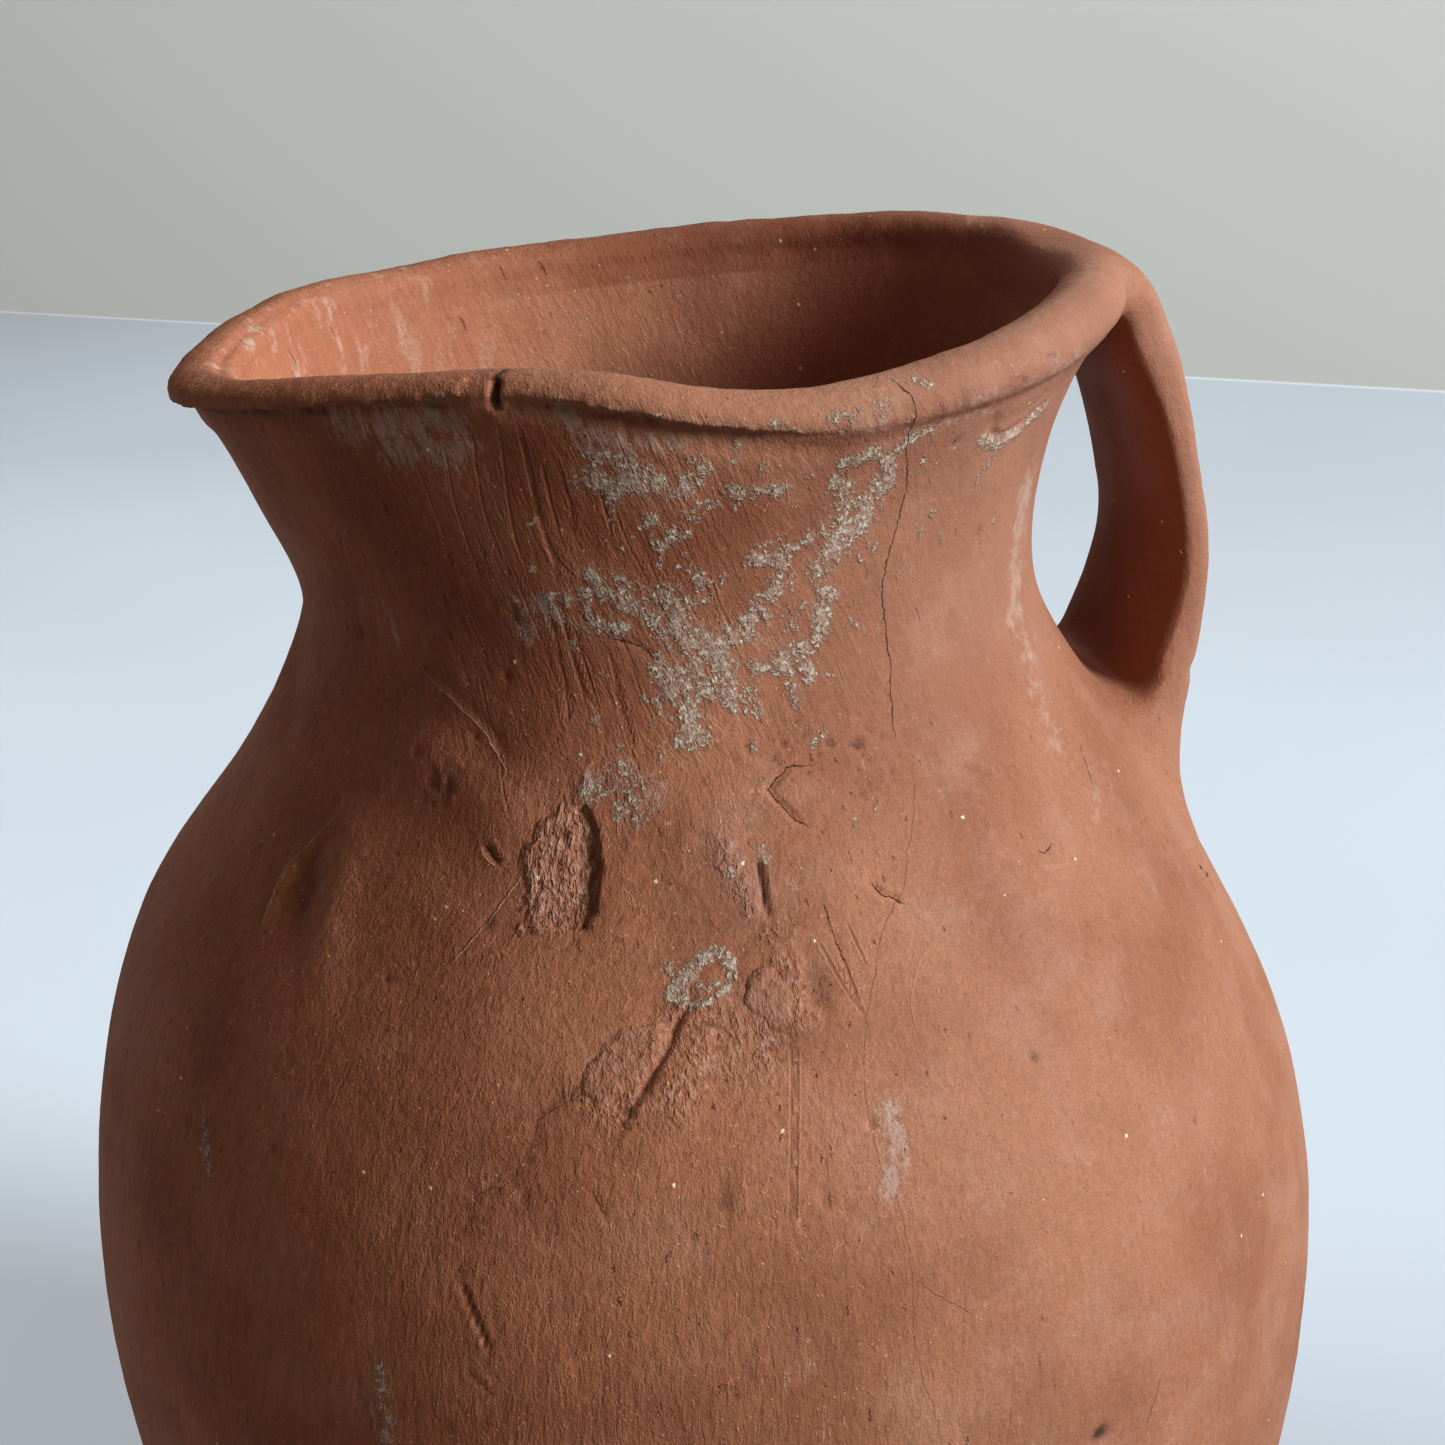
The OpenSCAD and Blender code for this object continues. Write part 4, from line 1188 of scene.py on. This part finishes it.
def pot_point(th, s):
    """Point and normal of the finished wall at angles th and lengths s up it."""
    z = np.interp(s, mean_s, mean_z)
    rr = np.clip(np.interp(z, mean_z, np.arange(CREST_ROW + 1)), 0, CREST_ROW - 1.001)
    cc = (th + 180) / 180 * FRONT_COLUMNS
    i, j = np.floor(rr).astype(int), np.floor(cc).astype(int)
    a, b = (rr - i)[:, None], (cc - j)[:, None]

    def pick(q):
        left, right = q[i, j] * (1 - a) + q[i + 1, j] * a, q[i, j + 1] * (1 - a) + q[i + 1, j + 1] * a
        return left * (1 - b) + right * b

    n = pick(P_N)
    return pick(P), n / np.linalg.norm(n, axis=1, keepdims=True)


# grid of a pad, how far its rim lies under the wall, and its depth into the wall
PAD_CELL, PAD_UNDER, PAD_RIM, PAD_DEEP = 0.3, 0.35, 0.4, 0.9


def pad_piece(name, th, z, half_u, half_v, turn, height):
    """Thin pad of clay on the wall round a spot. Its top follows height(), and its rim goes under the wall."""
    n_u, n_v = int(half_u * 2 / PAD_CELL), int(half_v * 2 / PAD_CELL)
    u, v = np.meshgrid(np.linspace(-half_u, half_u, n_u), np.linspace(-half_v, half_v, n_v))
    c, s = math.cos(math.radians(turn)), math.sin(math.radians(turn))
    x, y = c * u - s * v, s * u + c * v
    r0 = np.interp(z, mean_z, mean_r)
    p, n = pot_point((th + np.degrees(x / r0)).ravel(), (s_of(z) + y).ravel())
    tall = height(u.ravel(), v.ravel(), p)
    thick = np.where(tall > 0, tall, np.maximum(tall, -PAD_UNDER))
    edge = (np.maximum(np.abs(u) / half_u, np.abs(v) / half_v) > 0.97).ravel()
    thick = np.where(edge, -PAD_RIM, thick)
    top = p + n * thick[:, None]
    low = p - n * PAD_DEEP
    nn = n_u * n_v
    f = grid_faces(n_v, n_u)
    ring = np.concatenate([
        np.arange(n_u), np.arange(1, n_v) * n_u + n_u - 1, (n_v - 1) * n_u + np.arange(n_u - 2, -1, -1),
        np.arange(n_v - 2, 0, -1) * n_u,
    ])
    after = np.roll(ring, -1)
    side = np.stack([ring + nn, after + nn, after, ring], -1)
    faces = np.concatenate([f, f[:, ::-1] + nn, side])
    torn = smooth(-0.1, 0.15, tall)
    values = {
        "pink": np.concatenate([0.35 * torn, np.zeros(nn)]),
        "torn": np.concatenate([0.42 * torn, np.zeros(nn)]),
    }
    return make_object(name, np.concatenate([top, low]), faces, None, values)


def smear_height(u, v, p):
    edge = np.hypot((u + 0.3) / 4.0, v / 8.6) + 0.3 * noise(p, 2.6, 71, 3)
    body = 1 - smooth(0.42, 1.0, edge)
    lean = smooth(-3.5, 2.6, u)
    rough = 0.10 * noise(p, 1.1, 72, 2) + 0.06 * noise(p * np.array([1, 1, 0.4]), 0.7, 75)
    return body * (0.12 + 0.40 * lean + rough) * smooth(3.9, 3.3, u) - 0.3 * (1 - body)


def lump_height(u, v, p):
    edge = np.hypot(u / 3.2, v / 5.0) + 0.34 * noise(p, 2.0, 73, 3)
    body = 1 - smooth(0.45, 0.95, edge)
    flap = smooth(-0.15, 0.15, v - 1.4 - 0.55 * np.abs(u + 0.4))
    rough = 0.16 * noise(p * np.array([1, 1, 0.5]), 1.0, 74, 2)
    return body * (0.16 + 0.36 * flap + rough) - 0.3 * (1 - body)


pieces["shoulder_smear"] = pad_piece("shoulder_smear_clay", -112.3, 138.8, 5.4, 10.6, -40, smear_height)
pieces["shoulder_lump"] = pad_piece("shoulder_lump_clay", -98.2, 144.0, 5.2, 7.4, 20, lump_height)

# ---------------------------------------------------------------- materials


class Value:
    """Output of a node. Arithmetic on it adds math nodes to the same material."""

    def __init__(self, graph, socket):
        self.graph, self.socket = graph, socket

    def __add__(self, other):
        return self.graph.math("ADD", self, other)

    def __sub__(self, other):
        return self.graph.math("SUBTRACT", self, other)

    def __mul__(self, other):
        return self.graph.math("MULTIPLY", self, other)

    def __abs__(self):
        return self.graph.math("ABSOLUTE", self)

    __radd__, __rmul__ = __add__, __mul__


class Graph:
    """Node material that is built up as one colour with layers painted over it."""

    def __init__(self, name):
        self.material = bpy.data.materials.new(name)
        self.material.use_nodes = True
        self.tree = self.material.node_tree
        self.tree.nodes.clear()
        self.colour = None

    def node(self, kind, **props):
        n = self.tree.nodes.new(kind)
        for k, v in props.items():
            setattr(n, k, v)
        return n

    def put(self, node, **values):
        """Link or set inputs by name, with _ for a space, or i and a number."""
        for name, value in values.items():
            socket = node.inputs[int(name[1:]) if name[1:].isdigit() else name.replace("_", " ")]
            if isinstance(value, Value):
                self.tree.links.new(value.socket, socket)
            else:
                socket.default_value = value
        return node

    def out(self, node, key=0):
        return Value(self, node.outputs[key])

    def numbered(self, node, *values):
        return self.put(node, **{f"i{i}": v for i, v in enumerate(values)})

    def math(self, op, *values, clamp=False):
        return self.out(self.numbered(self.node("ShaderNodeMath", operation=op, use_clamp=clamp), *values))

    def step(self, x, lo, hi, a=0.0, b=1.0):
        """Smooth step from a at lo to b at hi."""
        n = self.node("ShaderNodeMapRange", interpolation_type="SMOOTHSTEP")
        return self.out(self.numbered(n, x, lo, hi, a, b))

    def mix(self, share, a, b, mode="MIX"):
        a, b = [c if isinstance(c, Value) else (*c, 1) for c in (a, b)]
        n = self.node("ShaderNodeMix", data_type="RGBA", blend_type=mode)
        return self.out(self.put(n, i0=share, i6=a, i7=b), 2)

    def paint(self, share, colour, mode="MIX"):
        self.colour = self.mix(share, self.colour, colour, mode)

    def noise(self, vec, scale, detail=2.0, rough=0.5, warp=0.0):
        n = self.node("ShaderNodeTexNoise")
        return self.out(self.put(n, Vector=vec, Scale=scale, Detail=detail, Roughness=rough, Distortion=warp))

    def cells(self, vec, scale):
        """Distance to the nearest of many scattered points, and a random colour for each of them."""
        n = self.put(self.node("ShaderNodeTexVoronoi"), Vector=vec, Scale=scale)
        return self.out(n, "Distance"), self.out(n, "Color")

    def attribute(self, name):
        return self.out(self.node("ShaderNodeAttribute", attribute_name=name), "Fac")

    def vector(self, op, vec, other, key=0):
        return self.out(self.numbered(self.node("ShaderNodeVectorMath", operation=op), vec, other), key)

    def place(self, scale):
        return self.vector("MULTIPLY", self.out(self.node("ShaderNodeTexCoord"), "Object"), (scale,) * 3)

    def parts(self, vec):
        n = self.numbered(self.node("ShaderNodeSeparateXYZ"), vec)
        return [self.out(n, i) for i in range(3)]

    def surface(self, specular, **values):
        shader = self.put(self.node("ShaderNodeBsdfPrincipled"), Base_Color=self.colour, **values)
        self.put(shader, Specular_IOR_Level=specular)
        self.put(self.node("ShaderNodeOutputMaterial"), Surface=self.out(shader))
        return self.material


def clay(name, orange, brown, pink):
    """Fired clay with the marks that the fields of the meshes carry. Lengths are in mm."""
    g = Graph(name)
    mm = g.place(MM)
    x, y, z = g.parts(mm)
    # strokes: a field drawn out along the wall, slanting on the neck and upright on the belly
    slant = g.math("MAXIMUM", z - 165.0, 0.0) * 0.42
    strokes = g.out(g.numbered(g.node("ShaderNodeCombineXYZ"), x + slant, y, z * 0.2))
    worked = g.step(x, 32.0, -22.0, 0.35, 1.0)

    broad = g.noise(mm, 0.04, 2, 0.55)
    patch = g.noise(mm, 0.11, 3, 0.6)
    stroke = g.noise(strokes, 1.1, 3, 0.7, 0.5)
    fine = g.noise(mm, 1.25, 2, 0.65)
    grit = g.noise(mm, 4.4, 1, 0.6)

    g.colour = g.mix(g.step(broad, 0.36, 0.66), orange, brown)
    g.paint(g.step(patch, 0.44, 0.78) * 0.55, pink)
    tone = (stroke - 0.5) * (worked * 0.75) + (fine - 0.5) * 0.34 + (grit - 0.5) * 0.55
    g.colour = g.out(g.put(g.node("ShaderNodeHueSaturation"), Value=tone + 1.0, Color=g.colour))

    # hair-fine scratches that wander down the wall
    hairs = g.noise(strokes, 0.42, 2, 0.5, 0.8)
    hair = g.step(abs(hairs - 0.5), 0.010, 0.002) * g.step(fine, 0.42, 0.62) * worked
    g.paint(hair * 0.55, (0.62, 0.36, 0.25))

    # painted shade: darker, redder clay on the worked neck, on the far rim, inside the mouth by the handle and on
    # the handle's inner face
    painted_shade = g.step(g.attribute("painted_shade") + (patch - 0.5) * 0.8, 0.1, 1.0)
    g.paint(painted_shade * 0.64, (0.235, 0.069, 0.031))

    # painted shade: redder and a little darker towards −x, the side turned away from the key light
    g.paint(g.step(x, 20.0, -45.0), (1.0, 0.89, 0.78), "MULTIPLY")

    # dark pores, longer up the wall than across it
    pore_at, pore_kind = g.cells(strokes, 0.8)
    pore = g.step(pore_kind, 0.5, 0.75) * g.step(pore_at + (grit - 0.5) * 0.5, 0.16, 0.04)
    g.paint(pore * (worked * 0.6), (0.09, 0.03, 0.018))

    # strokes left by the tool: painted shade along the line and a painted highlight beside it, over a matching
    # groove and rim in the bump
    cut = abs(g.attribute("line_c"))
    cut_mask = g.step(g.attribute("mask_c"), 0.2, 0.9)
    tool = g.step(cut, 0.2, 0.03) * cut_mask
    tool_rim = g.step(cut, 0.5, 0.3) * g.step(cut, 0.16, 0.3) * cut_mask
    g.paint(tool * 0.3, (0.12, 0.04, 0.022))
    g.paint(tool_rim * 0.3, (0.60, 0.30, 0.19))

    # fine raised lines, with a painted highlight along the top
    raised = g.step(abs(g.attribute("line_d") + (fine - 0.5) * 0.5), 0.17, 0.02)
    raised = raised * g.step(g.attribute("mask_d"), 0.2, 0.9)
    g.paint(raised * 0.6, (0.60, 0.40, 0.30))

    # salmon tone inside the mouth by the spout, with whitish drips
    streak = g.attribute("streak")
    drips = g.noise(g.vector("MULTIPLY", mm, (1.0, 1.0, 0.12)), 0.4, 2, 0.6)
    g.paint(streak * 0.5, (0.56, 0.215, 0.125))
    drip = g.step(drips, 0.54, 0.68) * g.step(fine, 0.3, 0.6) * g.math("MINIMUM", streak, 1.0)
    g.paint(drip * 0.62, (0.66, 0.50, 0.42))

    # pink tone from the meshes, which also carries painted light on the right of the neck and on the front of the
    # lip
    g.paint(g.attribute("pink") * 0.55, pink)

    # lilac-grey scuffs broken by the strokes
    scuff = g.attribute("scuff")
    scuff_edge = scuff + ((stroke - 0.5) * 2.2 + (fine - 0.5) * 1.0) + (grit - 0.5) * 1.2
    scuffed = g.step(scuff_edge, 0.3, 0.95) * g.step(scuff, 0.1, 0.4)
    g.paint(scuffed * (0.34 + g.step(stroke, 0.38, 0.64) * 0.34), (0.52, 0.395, 0.335))

    stain = g.attribute("stain")
    stain_noise = (patch - 0.5) * 1.2 + (g.noise(mm, 0.55, 3, 0.7) - 0.5) * 2.2
    stained = g.step(stain + stain_noise, 0.3, 1.1) * g.step(stain, 0.05, 0.3)
    g.paint(stained * 0.6, (0.58, 0.41, 0.33))

    # torn clay: painted highlights on the crests of its ridges and painted shade in the gaps between them
    torn = g.attribute("torn")
    ridges = g.noise(g.vector("MULTIPLY", mm, (1.0, 1.0, 0.26)), 1.7, 2, 0.65, 0.4)
    g.paint(g.step(ridges, 0.5, 0.66) * torn * 0.55, (0.60, 0.42, 0.34))
    g.paint(g.step(ridges, 0.46, 0.34) * torn * 0.6, (0.10, 0.04, 0.025))

    # lime crust: thin flakes with pale crests, greenish grey and lilac between them, and ragged edges
    crust = g.attribute("crust")
    edge = g.noise(mm, 0.55, 3, 0.7)
    flaky = g.noise(mm, 2.1, 3, 0.72, 0.5)
    ragged = (edge - 0.5) * 2.6 + (flaky - 0.5) * 2.4 + (stroke - 0.5) * 0.9
    crusted = g.step(crust + ragged, 0.3, 0.95) * g.step(crust, 0.1, 0.35)
    crests = g.step(flaky, 0.5, 0.66)
    crust_colour = g.mix(g.step(patch, 0.4, 0.6), (0.46, 0.345, 0.29), (0.47, 0.42, 0.325))
    crust_colour = g.mix(crests, crust_colour, (0.70, 0.66, 0.53))
    crust_colour = g.mix(g.step(flaky, 0.44, 0.34) * 0.35, crust_colour, (0.20, 0.08, 0.045))
    g.paint(crusted * (0.55 + crests * 0.38), crust_colour)

    # dark marks from the meshes, partly painted shade: under the lip's roll, along the crater's right wall and
    # inside the scoop
    dark = g.math("MINIMUM", g.attribute("dark"), 1.0)
    g.paint(g.step(dark + (fine - 0.5) * 0.5, 0.1, 0.95) * 0.88, (0.045, 0.022, 0.015))

    # cracks
    lines = []
    thick = (fine + -0.42) * 0.22
    for channel in "ab":
        d = abs(g.attribute("line_" + channel) + (fine - 0.5) * 0.7)
        lines.append(g.step(d - thick, 0.07, 0.0) * g.step(g.attribute("mask_" + channel), 0.2, 0.9))
    line = g.math("MAXIMUM", *lines)
    g.paint(line * 0.78, (0.06, 0.022, 0.013))

    # pale grains of sand in the clay
    grain_at, grain_kind = g.cells(mm, 1.15)
    grain = g.step(grain_kind, 0.62, 0.7) * g.step(grain_at + (grit - 0.5) * 0.4, 0.2, 0.06)
    g.paint(grain * (worked * 0.62), (0.80, 0.50, 0.32))

    # mica flakes
    flake_at, flake_kind = g.cells(mm, 0.8)
    flake = g.step(flake_kind, 0.905, 0.915) * g.step(flake_at + (grit - 0.5) * 0.35, 0.2, 0.1)
    g.paint(flake, (1.0, 0.86, 0.6))

    rough = 0.66 + (fine - 0.5) * 0.25 + (broad - 0.5) * 0.3 + crusted * 0.2
    rough = g.math("SUBTRACT", rough, g.math("MAXIMUM", flake, scuffed * 0.3) * 0.4, clamp=True)

    # relief in mm
    relief = stroke * (worked * 0.21) + fine * 0.09 + grit * (worked * 0.07)
    relief = relief + (tool_rim * 0.03 - tool * 0.05) + hair * 0.04 + raised * 0.14 + torn * (ridges * 0.7)
    relief = relief + crusted * (0.03 + flaky * 0.15) - line * 0.2 - pore * (worked * 0.13) + grain * 0.05
    bump = g.out(g.put(g.node("ShaderNodeBump"), Strength=1.0, Distance=1 / MM, Height=relief))
    return g.surface(0.14, Roughness=rough, Normal=bump, IOR=1.45)


fired = clay("fired_clay", (0.445, 0.200, 0.118), (0.355, 0.148, 0.086), (0.49, 0.252, 0.178))
pale = clay("pale_clay", (0.435, 0.196, 0.114), (0.355, 0.149, 0.088), (0.47, 0.242, 0.17))

for node, piece in pieces.items():
    is_pad = node in ("shoulder_smear", "shoulder_lump")
    piece.data.materials.append(pale if is_pad else fired)
    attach(piece, "root")
    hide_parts(node)

# ---------------------------------------------------------------- floor, backdrop, lights and camera

# level directions of the picture: HOR away from the camera, RIGHT to the picture's right
HOR = Vector((0.2588, 0.9659, 0))
RIGHT = Vector((0.9659, -0.2588, 0))
POT_MIDDLE = Vector((0, 0, 0.14))


def stage_mesh():
    """Pale floor that turns up into a wall some way behind the pot, further off on the picture's right."""
    n_side, floor_n, bend_n, wall_n = 40, 6, 14, 3
    back, bend, tall, front, half = 0.84, 0.001, 1.6, 2.4, 3.0
    slope, slope_half, slope_from = -0.24, 0.7, -1.0
    profile = [(-front + (front + back - bend) * i / floor_n, 0.0) for i in range(floor_n)]
    turns = [math.pi / 2 * i / bend_n for i in range(bend_n + 1)]
    profile += [(back - bend + bend * math.sin(t), bend - bend * math.cos(t)) for t in turns]
    profile += [(back, bend + tall * i / wall_n) for i in range(1, wall_n + 1)]
    verts = []
    for d, z in profile:
        for i in range(n_side + 1):
            s = (i / n_side * 2 - 1) * half
            tilt = slope * min(max(s, -slope_half), slope_half) * smooth(slope_from, back, d)
            p = HOR * (d + tilt) + RIGHT * s
            verts.append((p.x, p.y, z))
    mesh = bpy.data.meshes.new("stage")
    mesh.from_pydata(verts, [], grid_faces(len(profile), n_side + 1).tolist())
    mesh.polygons.foreach_set("use_smooth", [True] * len(mesh.polygons))
    obj = bpy.data.objects.new("stage", mesh)
    bpy.context.collection.objects.link(obj)
    return obj


floor = stage_mesh()
g = Graph("stage_paint")
metres = g.place(1.0)
g.colour = g.mix(g.step(g.noise(metres, 3.0, 2, 0.5), 0.3, 0.7), (0.565, 0.60, 0.645), (0.61, 0.655, 0.69))
to_right = g.vector("DOT_PRODUCT", metres, RIGHT, "Value")
# painted shade: the floor darkens towards its left side
g.paint(g.step(to_right, -0.2, -0.5) * 0.16, (0.0, 0.0, 0.0))
wall_share = g.step(g.parts(metres)[2], 0.0, 0.0008)
g.paint(wall_share, (0.60, 0.605, 0.57))
floor.data.materials.append(g.surface(0.1, Roughness=0.9))
floor.visible_diffuse = False


def spot(away, right, up):
    return HOR * away + RIGHT * right + Vector((0, 0, up))


def from_pot(turn, rise, distance):
    """Place round the pot: turn in degrees from the picture's right toward the camera, rise above level."""
    t, e = math.radians(turn), math.radians(rise)
    level = (RIGHT * math.cos(t) - HOR * math.sin(t)) * (distance * math.cos(e))
    return POT_MIDDLE + level + Vector((0, 0, distance * math.sin(e)))


def area_light(name, at, target, size, power, colour, only=None):
    """Round soft light that the camera doesn't see. With a collection it lights only the objects in it."""
    data = bpy.data.lights.new(name, "AREA")
    data.shape, data.size, data.energy, data.color = "DISK", size, power, colour
    obj = bpy.data.objects.new(name, data)
    obj.location = at
    obj.visible_camera = False
    obj.rotation_euler = (target - at).to_track_quat("-Z", "Y").to_euler()
    bpy.context.collection.objects.link(obj)
    if only:
        obj.light_linking.receiver_collection = only


def light_group(name, objects):
    group = bpy.data.collections.new(name)
    for obj in objects:
        group.objects.link(obj)
    return group


pot_only = light_group("pot_only", pieces.values())
stage_only = light_group("stage_only", [floor])
area_light("key", from_pot(27, 28, 2.2), POT_MIDDLE, 0.85, 64.0, (0.90, 1.0, 1.06))
area_light("wall_wash", spot(0.30, 0.35, 1.0), spot(0.95, 0.45, 0.5), 0.7, 4.6, (0.98, 1.0, 1.0), stage_only)
area_light("floor_fill", spot(0.05, -0.6, 0.8), spot(0.1, -0.18, 0), 0.7, 6.0, (0.95, 1.0, 1.04), stage_only)
area_light("back", spot(0.76, 0.15, 0.75), POT_MIDDLE, 0.5, 2.6, (1.0, 0.97, 0.93), pot_only)
area_light("rim", spot(0.6, -1.3, 0.24), POT_MIDDLE, 0.42, 1.2, (1.0, 0.98, 0.94), pot_only)

# the sky lights the pot with one colour, and a camera ray that misses the stage sees another
world = bpy.data.worlds.new("studio")
world.use_nodes = True
nodes, links = world.node_tree.nodes, world.node_tree.links
sky = nodes["Background"]
sky_colour = nodes.new("ShaderNodeMix")
sky_colour.data_type = "RGBA"
links.new(nodes.new("ShaderNodeLightPath").outputs["Is Camera Ray"], sky_colour.inputs[0])
sky_colour.inputs[6].default_value = (0.165, 0.139, 0.118, 1)
sky_colour.inputs[7].default_value = (0.50, 0.54, 0.55, 1)
links.new(sky_colour.outputs[2], sky.inputs["Color"])
sky.inputs["Strength"].default_value = 1.0
scene = bpy.context.scene
scene.world = world
scene.view_settings.view_transform = "Standard"
scene.view_settings.gamma = 0.88

PITCH = math.radians(21)
TARGET = RIGHT * 0.002 + Vector((0, 0, 0.152))
LEVEL_DISTANCE = 0.300
camera_data = bpy.data.cameras.new("camera")
camera_data.sensor_width = 36
camera_data.lens = 67.27
camera_data.clip_start, camera_data.clip_end = 0.01, 20
camera = bpy.data.objects.new("camera", camera_data)
forward = HOR * math.cos(PITCH) + Vector((0, 0, -math.sin(PITCH)))
camera.location = TARGET - forward * (LEVEL_DISTANCE / math.cos(PITCH))
camera.rotation_euler = forward.to_track_quat("-Z", "Y").to_euler()
bpy.context.collection.objects.link(camera)
scene.camera = camera
